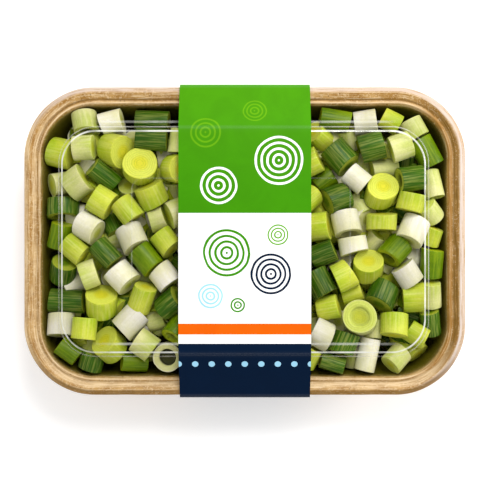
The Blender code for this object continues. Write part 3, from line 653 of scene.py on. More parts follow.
def moulded_fibre():
    """Pressed plant fibre: two mottled tans, short fibres and dark specks, paler on its convex bends and
    darker in its concave bends as painted shade, with streaks along the rim, bands of painted light and
    shade along the rim by the side that they face, and painted shade down the inner wall and floor."""
    material, tree, shader = new_material("moulded_fibre", 0.5)
    place = object_place(tree)
    clouds, grain = use_group(tree, MOTTLE, place=place, broad=120.0, fine=900.0)
    colour = blend_of(tree, clouds, linear(TAN), linear(TAN_DEEP))
    streak_place = attribute(tree, "streak", vector=True)
    streak = noise_of(tree, streak_place, 1.0, 3.0, 0.6)
    inset = attribute(tree, "inset")
    drawn_out = ramp_of(tree, inset, PLAIN_INSET, PLAIN_INSET - 2.0, 0.22, 0.85)
    light_streak = product(tree, ramp_of(tree, streak, 0.52, 0.66), drawn_out)
    dark_streak = product(tree, ramp_of(tree, streak, 0.48, 0.34), drawn_out)
    colour = blend_of(tree, light_streak, colour, linear(TAN_PALE))
    colour = blend_of(tree, dark_streak, colour, linear(TAN_DEEP))
    fibres = noise_of(tree, place, 420.0, 2.0, 0.5, 3.0)
    colour = blend_of(tree, ramp_of(tree, fibres, 0.56, 0.62, 0.0, 0.55), colour, linear(TAN_PALE))
    specks = node(tree, "ShaderNodeTexVoronoi", {"Vector": place, "Scale": 330.0}).outputs["Distance"]
    speck = ramp_of(tree, specks, 0.17, 0.08, 0.0, 0.7)
    colour = blend_of(tree, speck, colour, linear(TAN_GROOVE))
    # Paler on convex bends, and darker on concave bends as painted shade
    ridge = attribute(tree, "ridge")
    bend_tone = sum_of(tree, "MULTIPLY_ADD", grain, 0.5, ridge)
    colour = blend_of(tree, ramp_of(tree, bend_tone, 0.45, 1.1, 0.0, 0.5), colour, linear(TAN_PALE))
    colour = blend_of(tree, ramp_of(tree, bend_tone, 0.05, -0.6, 0.0, 0.25), colour, linear(TAN_GROOVE))
    # Bands of painted light and shade along the rim, by the side of the tray that they face or all round,
    # broken up by the streaks
    outward = attribute(tree, "outward", vector=True)
    broken = ramp_of(tree, streak, 0.36, 0.6, 0.45, 1.15)
    for middle, half, tone, most, way in RIM_PAINTED_LIGHT_AND_SHADE:
        band = ramp_of(tree, off_from(tree, inset, middle), half, 0.3 * half, 0.0, most)
        painted_band = product(tree, band, broken)
        if way:
            facing = vector_of(tree, "DOT_PRODUCT", outward, (*way, 0))
            painted_band = product(tree, painted_band, ramp_of(tree, facing, 0.2, 0.9))
        colour = blend_of(tree, painted_band, colour, linear(tone))
    # Painted shade down the inner wall and over the floor
    colour = blend_of(tree, attribute(tree, "wall_shade"), colour, linear(WALL_SHADE_TONE))
    tree.links.new(colour, shader.inputs["Base Color"])
    shader.inputs["Specular IOR Level"].default_value = 0.15
    tree.links.new(ramp_of(tree, grain, 0.3, 0.7, 0.42, 0.62), shader.inputs["Roughness"])
    height = sum_of(tree, "MULTIPLY_ADD", fibres, 0.6, grain)
    put_bump(tree, shader, height, 0.5, 0.25 * MM)
    return material


def clear_film():
    """Clear film: see-through, with painted highlights as thin white lines where its folds would catch the
    light. The lines lie at set distances in from the tray's edge, and two painted reflections of the top's
    crease at set places across the pack."""
    material, tree, shader = new_material("clear_film", 0.12)
    shader.inputs["Base Color"].default_value = linear(FILM_TINT)
    place = object_place(tree)
    uneven = noise_of(tree, place, 70.0, 3.0)
    parts = node(tree, "ShaderNodeSeparateXYZ", {0: place}).outputs
    inset = attribute(tree, "inset")
    upper = attribute(tree, "upper")
    # Painted highlights: along the panel's edge, the two reflected lines, and the lines along the folds
    glint = product(tree, attribute(tree, "glint"), ramp_of(tree, parts[1], *PANEL_GLINT_FROM))
    reach = product(tree, upper, ramp_of(tree, sum_of(tree, "ABSOLUTE", parts[0]), REFLECTED_REACH[1], REFLECTED_REACH[0]))
    for across in REFLECTED_LINES:
        reflected_line = ramp_of(tree, off_from(tree, parts[1], across), REFLECTED_HALF, 0.3 * REFLECTED_HALF, 0.0, REFLECTED_GLINT)
        glint = sum_of(tree, "MAXIMUM", glint, product(tree, reflected_line, reach))
    for middle, half, most in LID_GLINTS:
        line = ramp_of(tree, off_from(tree, inset, middle), half, 0.4 * half, 0.0, most)
        glint = sum_of(tree, "MAXIMUM", glint, product(tree, line, upper))
    white = product(tree, glint, ramp_of(tree, uneven, 0.34, 0.58, 0.45, 1.0))
    fresnel = node(tree, "ShaderNodeFresnel", {"IOR": 1.4}).outputs[0]
    behind = node(tree, "ShaderNodeNewGeometry").outputs["Backfacing"]
    gloss = product(tree, ramp_of(tree, fresnel, 0.06, 0.6, 0.0, 0.5), sum_of(tree, "SUBTRACT", 1.0, behind))
    gloss = product(tree, gloss, ramp_of(tree, inset, *GLOSS_INSETS, 0.05, 1.0))
    share = sum_of(tree, "ADD", white, gloss, clamp=True)
    clear = node(tree, "ShaderNodeBsdfTransparent").outputs[0]
    mix = node(tree, "ShaderNodeMixShader", {0: share, 1: clear, 2: shader.outputs[0]})
    tree.links.new(mix.outputs[0], tree.nodes["Material Output"].inputs["Surface"])
    tree.links.new(ramp_of(tree, uneven, 0.3, 0.7, 0.08, 0.2), shader.inputs["Roughness"])
    put_bump(tree, shader, uneven, 0.1, 0.2 * MM)
    return material


def leek_finish(kind):
    """Cut leek of one kind: lines along the stalk on its side, rings round a core on its cuts, and painted
    shade that darkens the well where the core is open."""
    side, side_deep, line_tone, face, core = (linear(tone) for tone in LEEK_TONES[kind])
    material, tree, shader = new_material(f"leek_{LEEK_NAMES[kind]}", 0.36)
    grown = attribute(tree, "grown", vector=True)
    cut = attribute(tree, "cut")
    tint = attribute(tree, "tint")
    clouds, grain = use_group(tree, MOTTLE, place=grown, broad=90.0, fine=1500.0)
    lines, height = use_group(tree, GROWN_LINES, place=grown, scale=LINE_SCALES[kind], stretch=0.05)
    along = attribute(tree, "along")
    deep = sum_of(tree, "ADD", product(tree, clouds, 0.4), product(tree, along, 0.6))
    stalk = blend_of(tree, deep, side, side_deep)
    stalk = blend_of(tree, product(tree, lines, 0.42 if kind == "D" else 0.3), stalk, line_tone)
    radius = attribute(tree, "radius")
    rings, middle = use_group(tree, CUT_RINGS, place=grown, radius=radius, rings=8.0)
    flesh = blend_of(tree, middle, face, core)
    flesh = blend_of(tree, product(tree, rings, 0.36), flesh, side_deep)
    flesh = blend_of(tree, ramp_of(tree, radius, 0.9, 0.97, 0.0, 0.55), flesh, side)
    colour = blend_of(tree, cut, stalk, flesh)
    fine = noise_of(tree, grown, 1100.0, 2.0, 0.7)
    uneven = ramp_of(tree, fine, 0.3, 0.7, 0.96 if kind == "W" else 0.92, 1.03)
    brightness = product(tree, uneven, ramp_of(tree, tint, 0.0, 1.0, 0.88, 1.1))
    # Painted shade in the open core's well
    brightness = product(tree, brightness, ramp_of(tree, attribute(tree, "well"), 0.1, 0.9, 1.0, 0.08))
    shade = node(tree, "ShaderNodeCombineColor", {0: brightness, 1: brightness, 2: brightness}).outputs[0]
    colour = blend_of(tree, 1.0, colour, shade, way="MULTIPLY")
    tree.links.new(colour, shader.inputs["Base Color"])
    tree.links.new(ramp_of(tree, grain, 0.3, 0.7, 0.28, 0.46), shader.inputs["Roughness"])
    relief = node(tree, "ShaderNodeMix", {0: cut, 2: height, 3: rings}).outputs[0]
    put_bump(tree, shader, relief, 0.35, 0.2 * MM)
    shader.inputs["Specular IOR Level"].default_value = 0.16
    shader.inputs["Subsurface Weight"].default_value = 0.1 if kind == "D" else 0.2
    shader.inputs["Subsurface Radius"].default_value = LEEK_SCATTER
    shader.inputs["Subsurface Scale"].default_value = LEEK_SCATTER_REACH
    return material


def printed_board():
    """Coated board: a green, a white and a navy field with ring motifs, an orange stripe and a line
    of dots, all laid out in millimetres round the sleeve. Its edges, inside and base are bare."""
    material, tree, shader = new_material("printed_board", 0.42)
    laid = attribute(tree, "print", vector=True)
    wobble = noise_of(tree, laid, 120.0, 2.0)
    aside = sum_of(tree, "MULTIPLY_ADD", wobble, 1.2 * MM, -0.6 * MM)
    place = vector_of(tree, "ADD", laid, node(tree, "ShaderNodeCombineXYZ", {0: aside}).outputs[0])
    parts = node(tree, "ShaderNodeSeparateXYZ", {0: laid}).outputs
    up = parts[1]
    cloud, grain = use_group(tree, MOTTLE, place=laid, broad=60.0, fine=2500.0)
    paler = ramp_of(tree, up, 20 * MM, 78 * MM, 0.0, 0.2)
    green = blend_of(tree, paler, linear(INK_GREEN), linear(INK_GREEN_PALE))
    colour = blend_of(tree, sum_of(tree, "GREATER_THAN", up, GREEN_FOOT * MM), linear(BOARD_WHITE), green)
    for across, along, radius, spacing, line, ink in MOTIFS:
        marks = use_group(
            tree, RING_MARK, place=place, middle=(across * MM, along * MM, 0), radius=radius * MM,
            spacing=spacing * MM, line=line * MM,
        )
        colour = blend_of(tree, marks[0], colour, linear(ink))
    in_stripe = sum_of(tree, "COMPARE", up, sum(STRIPE) / 2 * MM, (STRIPE[1] - STRIPE[0]) / 2 * MM)
    colour = blend_of(tree, in_stripe, colour, linear(INK_ORANGE))
    colour = blend_of(tree, sum_of(tree, "LESS_THAN", up, NAVY_HEAD * MM), colour, linear(INK_NAVY))
    beside = sum_of(tree, "PINGPONG", parts[0], DOT_PITCH / 2)
    above = off_from(tree, up, DOT_LINE[0])
    squares = sum_of(tree, "ADD", product(tree, beside, beside), product(tree, above, above))
    away = sum_of(tree, "SQRT", squares)
    colour = blend_of(tree, sum_of(tree, "LESS_THAN", away, DOT_LINE[1]), colour, linear(INK_SKY))
    height = node(tree, "ShaderNodeSeparateXYZ", {0: object_place(tree)}).outputs[2]
    outside = sum_of(tree, "GREATER_THAN", attribute(tree, "outside"), 0.995)
    printed = product(tree, outside, sum_of(tree, "GREATER_THAN", height, BASE_PRINT_END))
    bare = blend_of(tree, cloud, linear(BOARD_WHITE), linear(BOARD_BARE))
    colour = blend_of(tree, printed, bare, colour)
    colour = blend_of(tree, product(tree, cloud, 0.1), colour, linear(BOARD_SHADOW), way="MULTIPLY")
    crease = product(tree, attribute(tree, "crease"), ramp_of(tree, grain, 0.35, 0.7))
    colour = blend_of(tree, product(tree, crease, 0.12), colour, linear(BOARD_WHITE))
    tree.links.new(colour, shader.inputs["Base Color"])
    tree.links.new(ramp_of(tree, grain, 0.3, 0.7, 0.36, 0.5), shader.inputs["Roughness"])
    shader.inputs["Specular IOR Level"].default_value = 0.06
    put_bump(tree, shader, grain, 0.12, 0.1 * MM)
    return material


def studio_floor():
    """A matt white floor with a faint glow of its own."""
    material, tree, shader = new_material("studio_floor", 0.9)
    cloud = noise_of(tree, object_place(tree), 6.0)
    colour = blend_of(tree, cloud, *(linear(tone) for tone in FLOOR_TONES))
    tree.links.new(colour, shader.inputs["Base Color"])
    shader.inputs["Specular IOR Level"].default_value = 0.1
    shader.inputs["Emission Color"].default_value = (1, 1, 1, 1)
    shader.inputs["Emission Strength"].default_value = FLOOR_GLOW
    return material


# Pieces


def make_tray():
    """The pressed tray: its section line carried round the outline, from the middle of the underside
    out to the edge and back in to the middle of the floor, with a slight unevenness of the pulp."""
    line = divided(softened(TRAY_UNDERSIDE + TRAY_INSIDE, TRAY_BEND), TRAY_STEP)
    inset = line[:, 0] * MM
    height = RIM_Z + line[:, 1] * MM
    rings = outlines(TRAY_LENGTH / 2 - inset, TRAY_WIDTH / 2 - inset, TRAY_CORNER - inset, height)
    run = run_of(line) * MM
    ridge = np.clip(bend_of(line) / RIDGE_BEND, -1, 1)
    shares = np.array(BASE_SHARES)[:, None, None]
    under = rings[:1] * (shares * (1, 1, 0) + (0, 0, 1))
    floor = rings[-1:] * (shares[::-1] * (1, 1, 0) + (0, 0, 1))
    rings = np.concatenate([under, rings, floor])
    flat = np.zeros(len(shares))
    ridge = np.concatenate([flat, ridge, flat])
    run = np.concatenate([flat, run, flat + run[-1]])
    out = np.concatenate([WAYS, np.zeros((len(WAYS), 1))], axis=1)
    inward = np.maximum(1 + waves(rings, TRAY_WAVE_LENGTHS[0], 3), 0)
    rings = rings - out * TRAY_WAVE * inward[..., None]
    down = (waves(rings, TRAY_WAVE_LENGTHS[1], 4) + 1) * (rings[..., 2] > RIM_Z - TRAY_WAVE_REACH)
    rings[..., 2] -= TRAY_WAVE * down
    run_place = np.broadcast_to(run[:, None, None] * STREAKS[1], (*rings.shape[:2], 1))
    streak = np.concatenate([rings[..., :2] * STREAKS[0], run_place], axis=2)
    # Painted shade inside the tray, from a little below the rim down
    depth = np.clip((RIM_Z - rings[..., 2] - WALL_SHADE_FROM) / WALL_SHADE_FADE, 0, 1)
    inside = (np.arange(len(rings)) > len(shares) + np.argmax(line[:, 1]))[:, None]
    upper = np.arange(len(rings)) >= len(shares) + np.argmin(line[:, 0])
    insets = np.where(upper, np.concatenate([flat, line[:, 0], flat]), PLAIN_INSET)
    marks = {
        "outward": np.broadcast_to(out, rings.shape)[None],
        "ridge": ridge[None, :, None],
        "streak": streak[None],
        "wall_shade": (depth * inside)[None],
        "inset": insets[None, :, None],
    }
    piece = skin("pressed_tray", rings[None], marks, moulded_fibre())
    dress(piece, "tray")


def lid_outlines(line):
    """The lid's rings for a section line: from the ledge up to the top all sides lean in further, the
    whole shifts, and the corners ease to their own radius."""
    inset, rise = line.T
    share = np.clip((inset - LID_LEDGE_INSET) / (LID_TOP_INSET - LID_LEDGE_INSET), 0, None)
    ledge_corner = TRAY_CORNER / MM - LID_LEDGE_INSET
    eased = ledge_corner + (LID_TOP_CORNER - ledge_corner) * share
    corner = np.where(share > 0, eased, TRAY_CORNER / MM - inset) * MM
    half_x = TRAY_LENGTH / 2 - (inset + LID_SIDE_EXTRA[0] * share) * MM
    half_y = TRAY_WIDTH / 2 - (inset + LID_SIDE_EXTRA[1] * share) * MM
    shift = np.array(LID_TOP_SHIFT) * MM * share[:, None, None]
    return outlines(half_x, half_y, corner, RIM_Z + rise * MM) + shift


def panel_outlines(line, top):
    """The shallow sunk panel in the lid's top, from its middle out to its edge."""
    inset, rise = np.array(line).T
    half_x, half_y = LID_PANEL_HALF
    corner = (LID_PANEL_CORNER - inset) * MM
    rings = outlines((half_x - inset) * MM, (half_y - inset) * MM, corner, top + rise * MM)
    return rings + (LID_PANEL_SHIFT, 0, 0)


def make_lid():
    """The lid as a thin closed shell: the underside's line out to the edge, then the same line moved
    out by the film's thickness and back in to the middle."""
    under = divided(softened(LID_UNDERSIDE, LID_BEND), LID_STEP)
    over = left_of(under, LID_FILM)
    top = RIM_Z + LID_UNDERSIDE[-1][1] * MM
    panel = divided(softened(LID_PANEL_LINE, 0.2), LID_STEP)
    rings = np.concatenate([
        panel_outlines(panel, top), lid_outlines(under[::-1]), lid_outlines(over),
        panel_outlines(panel[::-1], top + LID_FILM * MM),
    ])
    flat = np.full(len(panel), under[-1, 0])
    insets = np.concatenate([flat, under[::-1, 0], under[:, 0], flat])
    # A faint painted highlight along the panel's edge
    panel_glint = PANEL_GLINT * (np.abs(panel[:, 0] - 0.3) < 0.2)
    glint = np.concatenate([panel_glint, np.zeros(2 * len(under)), panel_glint[::-1]])
    upper = np.repeat([0.0, 1.0], len(glint) // 2)
    marks = {
        "glint": (glint * upper)[None, :, None],
        "inset": insets[None, :, None],
        "upper": upper[None, :, None],
    }
    piece = skin("clear_lid", rings[None], marks, clear_film())
    dress(piece, "lid")


def sleeve_line():
    """The sleeve's inner line in Y and Z as a closed loop, anticlockwise from the middle of its base."""
    right = [(out, rise) for out, rise, _ in SLEEVE_FOLDS]
    reaches = [reach for _, _, reach in SLEEVE_FOLDS]
    left = [(-out, rise) for out, rise in reversed(right)]
    base = [(0.0, right[0][1])]
    line = divided(softened(base + right + left + base, reaches + reaches[::-1], 5), SLEEVE_STEP)
    return line[:-1]


def make_sleeve():
    """The board band: columns across its outside and back across its inside, carried round the loop.

    The outside is the inner line moved out by the board, with a fine step at the glued seam in the
    base. The print runs on how far round the board each point is from the middle of the top.
    """
    inner = sleeve_line()
    closed = np.vstack([inner[-1:], inner, inner[:1]])
    outer = left_of(closed, -SLEEVE_BOARD)[1:-1]
    creases = np.abs(bend_of(closed)[1:-1])
    seam = np.exp(-((outer[:, 0] - SEAM_PLACE) ** 2) / 0.5) * (outer[:, 1] < SLEEVE_FOLDS[0][1])
    outer[:, 1] += SEAM_DEPTH * seam
    run = run_of(np.vstack([outer, outer[:1]]))
    round_top = run[:-1] - run[-1] / 2
    half = np.linspace(-1, 1, SLEEVE_COLUMNS) * SLEEVE_HALF
    across = np.concatenate([half, half[::-1]])
    outside = np.repeat([1.0, 0.0], SLEEVE_COLUMNS)
    section = np.where(outside[None, :, None] > 0, outer[:, None], inner[:, None]) * MM
    rings = np.concatenate([np.broadcast_to(across[None, :, None], (*section.shape[:2], 1)), section], axis=2)
    rings[..., 2] += RIM_Z
    print_place = np.stack(np.broadcast_arrays(across[None], -round_top[:, None] * MM, 0.0), axis=-1)
    marks = {
        "print": print_place[None],
        "outside": np.broadcast_to(outside, rings.shape[:2])[None],
        "crease": np.clip(creases / 0.4, 0, 1)[None, :, None],
    }
    piece = skin("board_sleeve", rings[None], marks, printed_board(), poles=False)
    piece.data.set_sharp_from_angle(angle=math.radians(60))
    dress(piece, "sleeve")


# The heap of rounds


def outline_depth(points):
    """How far inside the tray's outline each point lies in plan, and the way straight out of it."""
    half = np.array([TRAY_LENGTH, TRAY_WIDTH]) / 2 - TRAY_CORNER
    flat = points[:, :2]
    past = np.abs(flat) - half
    corner = np.maximum(past, 0)
    reach = np.linalg.norm(corner, axis=1)
    depth = TRAY_CORNER - reach - np.minimum(past.max(axis=1), 0)
    in_corner = reach > 1e-9
    out = np.zeros_like(flat)
    out[in_corner] = corner[in_corner] / reach[in_corner, None]
    out[~in_corner, past.argmax(axis=1)[~in_corner]] = 1
    return depth, out * np.where(flat < 0, -1, 1)


def wall_inset(rise):
    """The wall's distance in from the outline at a height above the rim."""
    return np.interp(rise, (WALL_FOOT[1], WALL_TOP[1]), (WALL_FOOT[0], WALL_TOP[0]))


def cross_frames(axes):
    """Two directions square to each axis."""
    helper = np.where(np.abs(axes[:, 2:]) < 0.8, [[0.0, 0.0, 1.0]], [[1.0, 0.0, 0.0]])
    side = np.cross(helper, axes)
    side /= np.linalg.norm(side, axis=1, keepdims=True)
    return side, np.cross(axes, side)


def round_points(heap, pattern):
    """Points of a unit cylinder's pattern on every round, from the round's own middle."""
    side, up = cross_frames(heap["axes"])
    radius = heap["radii"][:, None]
    half = heap["halves"][:, None]
    return (
        pattern[None, :, :1] * (radius * side)[:, None]
        + pattern[None, :, 1:2] * (radius * up)[:, None]
        + pattern[None, :, 2:] * (half * heap["axes"])[:, None]
    )


def cylinder_pattern(rows):
    """Points round a unit cylinder at the given heights, then the middle of its lower and upper cut."""
    turns = np.arange(SIDES) * 2 * np.pi / SIDES
    rings = [(math.cos(turn), math.sin(turn), height) for height in rows for turn in turns]
    return np.array(rings + [(0, 0, -1), (0, 0, 1)])


def draw_heap():
    """The rounds before they settle: those seen, then under the sleeve, then the deeper ones."""
    draw = np.random.default_rng(SEED)
    middles = []
    axes = []
    for x, y, _, heading, tilt, _, _, level in SEEN_ROUNDS:
        turn = math.radians(heading)
        steep = math.radians(tilt)
        middles.append((x * MM, y * MM, RIM_Z + level * MM))
        axes.append((math.cos(turn) * math.cos(steep), math.sin(turn) * math.cos(steep), math.sin(steep)))
    for column, x in enumerate(HIDDEN_COLUMNS):
        for row in range(HIDDEN_ROWS):
            y = (row - (HIDDEN_ROWS - 1) / 2) * ROW_PITCH + ROW_STAGGER * (-1) ** column
            middles.append((x, y, RIM_Z - TOP_LAYER_DROP) + draw.uniform(-1, 1, 3) * (SCATTER, SCATTER, 0))
            axes.append(draw.normal(size=3))
    for spot in draw.uniform(-1, 1, (DEEPER_ROUNDS, 3)):
        middles.append(spot * DEEPER_SPREAD + (0, 0, RIM_Z - DEEPER_MIDDLE_DROP))
        axes.append(draw.normal(size=3))
    seen = len(SEEN_ROUNDS)
    unseen = len(middles) - seen
    axes = np.array(axes, float)
    across = np.array([one[5] for one in SEEN_ROUNDS]) * MM
    along = np.array([one[6] for one in SEEN_ROUNDS]) * MM
    kinds = [one[2] for one in SEEN_ROUNDS] + list(draw.choice(KINDS, unseen, p=KIND_SHARES))
    return {
        "middles": np.array(middles, float),
        "axes": axes / np.linalg.norm(axes, axis=1, keepdims=True),
        "radii": np.concatenate([across / 2, draw.uniform(*ROUND_RADIUS, unseen)]),
        "halves": np.concatenate([along / 2, draw.uniform(*ROUND_HALF_LENGTH, unseen)]),
        "kinds": np.array(kinds),
        "seen": seen,
    }


def push_apart(heap, arms):
    """Move and turn rounds that overlap: each test point inside a neighbour is pushed out of it."""
    middles = heap["middles"]
    axes = heap["axes"]
    radii = heap["radii"]
    halves = heap["halves"]
    inertia = SPIN_INERTIA * radii**2
    reach = np.sqrt(radii**2 + halves**2)
    apart = np.linalg.norm(middles[:, None] - middles[None], axis=2)
    one, other = np.nonzero((apart < reach[:, None] + reach[None]) & (apart > 0))
    points = middles[one][:, None] + arms[one]
    offset = points - middles[other][:, None]
    along = np.einsum("nkj,nj->nk", offset, axes[other])
    outward = offset - along[..., None] * axes[other][:, None]
    distance = np.linalg.norm(outward, axis=2)
    to_side = radii[other][:, None] - distance
    to_cut = halves[other][:, None] - np.abs(along)
    pair, k = np.nonzero(np.minimum(to_side, to_cut) > 0)
    i = one[pair]
    j = other[pair]
    side_way = outward[pair, k] / np.maximum(distance[pair, k], 1e-9)[:, None]
    cut_way = np.sign(along[pair, k])[:, None] * axes[j]
    by_side = to_side[pair, k] < to_cut[pair, k]
    way = np.where(by_side[:, None], side_way, cut_way)
    deep = np.minimum(to_side[pair, k], to_cut[pair, k])
    turn_i = np.cross(arms[i, k], way)
    turn_j = np.cross(points[pair, k] - middles[j], way)
    ease = 2 + (turn_i**2).sum(1) / inertia[i] + (turn_j**2).sum(1) / inertia[j]
    push = (deep / ease)[:, None]
    move = np.zeros_like(middles)
    spin = np.zeros_like(middles)
    hits = np.zeros(len(middles))
    np.add.at(move, i, push * way)
    np.add.at(move, j, -push * way)
    np.add.at(spin, i, push * turn_i / inertia[i][:, None])
    np.add.at(spin, j, -push * turn_j / inertia[j][:, None])
    np.add.at(hits, i, 1)
    np.add.at(hits, j, 1)
    share = np.minimum(PUSH / np.maximum(hits, 1), 1)[:, None]
    heap["middles"] = middles + share * move
    turned = axes + np.cross(share * spin, axes)
    heap["axes"] = turned / np.linalg.norm(turned, axis=1, keepdims=True)


def keep_in_pack(heap, arms):
    """Bring back the rounds that reach through the tray's wall or floor, or through the lid."""
    count = len(arms)
    rows = np.arange(count)
    points = (heap["middles"][:, None] + arms).reshape(-1, 3)
    depth, out = outline_depth(points)
    over = (wall_inset(points[:, 2] - RIM_Z) + GAP - depth).reshape(count, -1)
    worst = over.argmax(axis=1)
    push = np.maximum(over[rows, worst], 0)[:, None]
    heap["middles"][:, :2] -= push * out.reshape(count, -1, 2)[rows, worst]
    points = (heap["middles"][:, None] + arms).reshape(-1, 3)
    ceiling = np.interp(outline_depth(points)[0], HEAP_CEILING_INSET, HEAP_CEILING_RISE) - GAP
    over = (points[:, 2] - RIM_Z - ceiling).reshape(count, -1).max(axis=1)
    heap["middles"][:, 2] -= np.maximum(over, 0)
    under = RIM_Z + HEAP_FLOOR + GAP - heap["middles"][:, 2] - arms[:, :, 2].min(axis=1)
    heap["middles"][:, 2] += np.maximum(under, 0)


def settle_heap():
    """The whole heap, pressed up under the lid, with the seen rounds kept near where and how they lie."""
    heap = draw_heap()
    pattern = cylinder_pattern((-1, 0, 1))
    seen = heap["seen"]
    places = heap["middles"][:seen].copy()
    aims = heap["axes"][:seen].copy()
    for step in range(SETTLE_STEPS):
        push_apart(heap, round_points(heap, pattern))
        heap["middles"][:, 2] += LIFT
        hold = FIRST_HOLD + (LAST_HOLD - FIRST_HOLD) * step / SETTLE_STEPS
        heap["middles"][:seen] += hold * (places - heap["middles"][:seen]) * HOLD_SHARES
        heap["axes"][:seen] += hold * AIM_SHARE * (aims - heap["axes"][:seen])
        heap["axes"] /= np.linalg.norm(heap["axes"], axis=1, keepdims=True)
        arms = round_points(heap, pattern)
        keep_in_pack(heap, arms)
        keep_in_pack(heap, arms)
        heap["middles"] = np.round(heap["middles"], 7)
        heap["axes"] = np.round(heap["axes"], 6)
    return heap


def fill_gaps(heap):
    """The heap with one more layer under the seen rounds, so that the gaps between them show leek."""
    draw = np.random.default_rng(FILL_SEED)
    half_x = TRAY_LENGTH / 2
    half_y = TRAY_WIDTH / 2
    x, y = np.meshgrid(np.arange(-half_x, half_x, FILL_PITCH), np.arange(-half_y, half_y, FILL_PITCH))
    middles = np.stack([x.ravel(), y.ravel(), np.full(x.size, RIM_Z + FILL_LEVEL)], axis=1)
    middles += draw.uniform(-1, 1, middles.shape) * FILL_SCATTER
    radii = draw.uniform(*FILL_RADIUS, len(middles))
    clear = outline_depth(middles)[0] > wall_inset(FILL_LEVEL) + FILL_CLEARANCE * radii + GAP
    axes = draw.normal(size=middles.shape)
    kinds = draw.choice(KINDS, len(middles), p=KIND_SHARES)
    added = {
        "middles": middles,
        "axes": axes / np.linalg.norm(axes, axis=1, keepdims=True),
        "radii": radii,
        "halves": FILL_HALF_SHARE * radii,
        "kinds": kinds,
    }
    return {key: np.concatenate([heap[key], added[key][clear]]) for key in added} | {"seen": heap["seen"]}


def ring_plan():
    """For each ring of a round, from cut to cut: share of the radius, level, rounding back, and 1 on a
    cut face."""
    face = [(share, 0.0, 1.0) for share in FACE_SHARES]
    edge = [(share, back, 0.0) for share, back in EDGE_RINGS]
    end = face + edge
    lower = [(share, -1.0, back, cut) for share, back, cut in end]
    side = [(1.0, level, 0.0, 0.0) for level in SIDE_LEVELS]
    upper = [(share, 1.0, back, cut) for share, back, cut in reversed(end)]
    return np.array(lower + side + upper).T


def round_surfaces(heap, chosen, around, hollow):
    """The chosen rounds as rings of points, with the marks that their finish reads.

    Round a stalk the radius is R * (1 + a2 cos(2u+p2) + a3 cos(3u+p3) + lap * u share), so it is a
    little out of round and its outer leaf laps over at one line. A cut leans by a slope, and its
    face rises or dips by dish * (1 - share^2). A hollow one drops at its core, inside a share of the
    radius, by hollow * half the length.
    """
    share, level, back, cut = (row[None, :, None] for row in ring_plan())
    draw = np.random.default_rng(LEEK_SEED + around)
    count = len(chosen)

    def drawn(low, high):
        return draw.uniform(low, high, (count, 1, 1))

    u = (np.arange(around) * 2 * np.pi / around)[None, None]
    flat = np.where(heap["kinds"][chosen] == "D", 1.6, 1.0)[:, None, None]
    lap = drawn(0.0, 0.035) * ((u - drawn(0, 2 * np.pi)) % (2 * np.pi) / (2 * np.pi) - 0.5)
    shape = 1 + drawn(0.01, 0.045) * flat * np.cos(2 * u + drawn(0, ANY_TURN))
    shape = shape + drawn(0.0, 0.015) * np.cos(3 * u + drawn(0, ANY_TURN)) + lap
    shape = shape / shape.max(axis=2, keepdims=True)
    radius = heap["radii"][chosen][:, None, None] * LEEK_FIT
    half = heap["halves"][chosen][:, None, None] * LEEK_FIT
    barrel = 1 - drawn(0.0, 0.02) * level**2
    reach = radius * shape * share * barrel
    slopes = [drawn(0.0, 0.13), drawn(0.0, 0.13)]
    slope = np.where(level < 0, slopes[0], slopes[1]) * np.abs(level)
    lean = np.where(level < 0, drawn(0, ANY_TURN), drawn(0, ANY_TURN))
    dish = np.where(level < 0, drawn(-0.45, 0.5), drawn(-0.45, 0.5)) * MM
    along = level * (half - back - slope * radius) + slope * reach * np.cos(u - lean)
    relief = cut * (dish * (1 - share**2) - np.maximum(dish, 0))
    well = hollow[:, None, None] * (share < WELL_SHARE) * cut
    along = along + np.sign(level) * (relief - well * half)
    across = reach * np.cos(u)
    aside = reach * np.sin(u)
    side, up = cross_frames(heap["axes"][chosen])
    local = np.stack(np.broadcast_arrays(across, aside, along), axis=-1)
    turned = np.stack([side, up, heap["axes"][chosen]], axis=1)
    rings = heap["middles"][chosen][:, None, None] + local @ turned[:, None]
    shift = draw.uniform(-0.5, 0.5, (count, 1, 1, 3))
    marks = {
        "grown": local + shift,
        "cut": cut,
        "well": well + 0 * u,
        "radius": share + 0 * u + 0 * radius,
        "along": np.clip(0.5 + 0.5 * along / half * np.sign(drawn(-1, 1)), 0, 1),
        "tint": drawn(0, 1),
    }
    return rings, marks


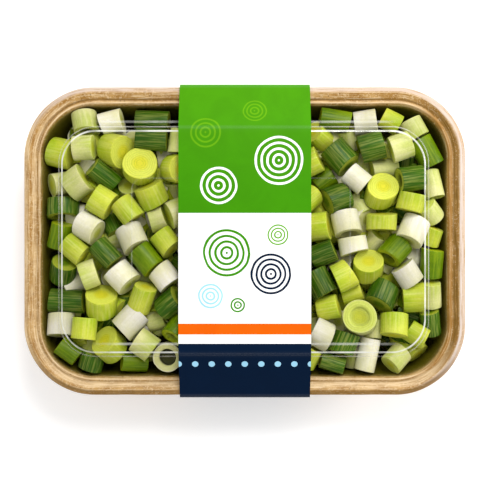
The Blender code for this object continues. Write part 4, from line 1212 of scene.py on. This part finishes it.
def make_leeks(heap):
    """The heap by kind: the rounds seen through the lid in fine rings, the others in coarser ones."""
    count = len(heap["kinds"])
    hollow = np.zeros(count)
    hollow[list(HOLLOW_ROUNDS)] = list(HOLLOW_ROUNDS.values())
    unseen = np.arange(heap["seen"], count)
    hollow[unseen] = OTHER_HOLLOW_DEPTH * (unseen % OTHER_HOLLOW_EACH == 0)
    for kind in KINDS:
        finish = leek_finish(kind)
        of_kind = np.nonzero(heap["kinds"] == kind)[0]
        for label, chosen, around in (
            ("top", of_kind[of_kind < heap["seen"]], SEEN_AROUND),
            ("under", of_kind[of_kind >= heap["seen"]], OTHER_AROUND),
        ):
            rings, marks = round_surfaces(heap, chosen, around, hollow[chosen])
            piece = skin(f"leeks_{LEEK_NAMES[kind]}_{label}", rings, marks, finish)
            dress(piece, "cut_leeks")


# Studio

def make_floor():
    half = FLOOR_SIZE / 2
    mesh = bpy.data.meshes.new("studio_floor")
    corners = [(-half, -half, 0), (half, -half, 0), (half, half, 0), (-half, half, 0)]
    mesh.from_pydata(corners, [], [(0, 1, 2, 3)])
    mesh.materials.append(studio_floor())
    floor = bpy.data.objects.new("studio_floor", mesh)
    bpy.context.scene.collection.objects.link(floor)


def add_softbox(name, place, size, power):
    """A square soft light that faces the pack."""
    light = bpy.data.lights.new(name, "AREA")
    light.size = size
    light.energy = power
    lamp = bpy.data.objects.new(name, light)
    lamp.location = place
    target = np.array([0, 0, RIM_Z]) - np.array(place)
    lamp.rotation_euler = Vector(target).to_track_quat("-Z", "Y").to_euler()
    bpy.context.scene.collection.objects.link(lamp)


def make_studio():
    """A pale floor, even light from all round, and two soft lights from beyond the upper edge."""
    scene = bpy.context.scene
    make_floor()
    world = bpy.data.worlds.new("studio")
    world.use_nodes = True
    world.node_tree.nodes["Background"].inputs["Color"].default_value = (1, 1, 1, 1)
    world.node_tree.nodes["Background"].inputs["Strength"].default_value = WORLD_LIGHT
    scene.world = world
    for softbox in SOFTBOXES:
        add_softbox(*softbox)
    camera = bpy.data.objects.new("camera", bpy.data.cameras.new("camera"))
    camera.data.sensor_width = SENSOR
    camera.data.lens = SENSOR * CAMERA_ABOVE_RIM / VIEW_WIDTH
    camera.location = (*VIEW_MIDDLE, RIM_Z + CAMERA_ABOVE_RIM)
    scene.collection.objects.link(camera)
    scene.camera = camera
    scene.view_settings.view_transform = "Standard"


make_tray()
make_lid()
make_sleeve()
make_leeks(fill_gaps(settle_heap()))
make_studio()
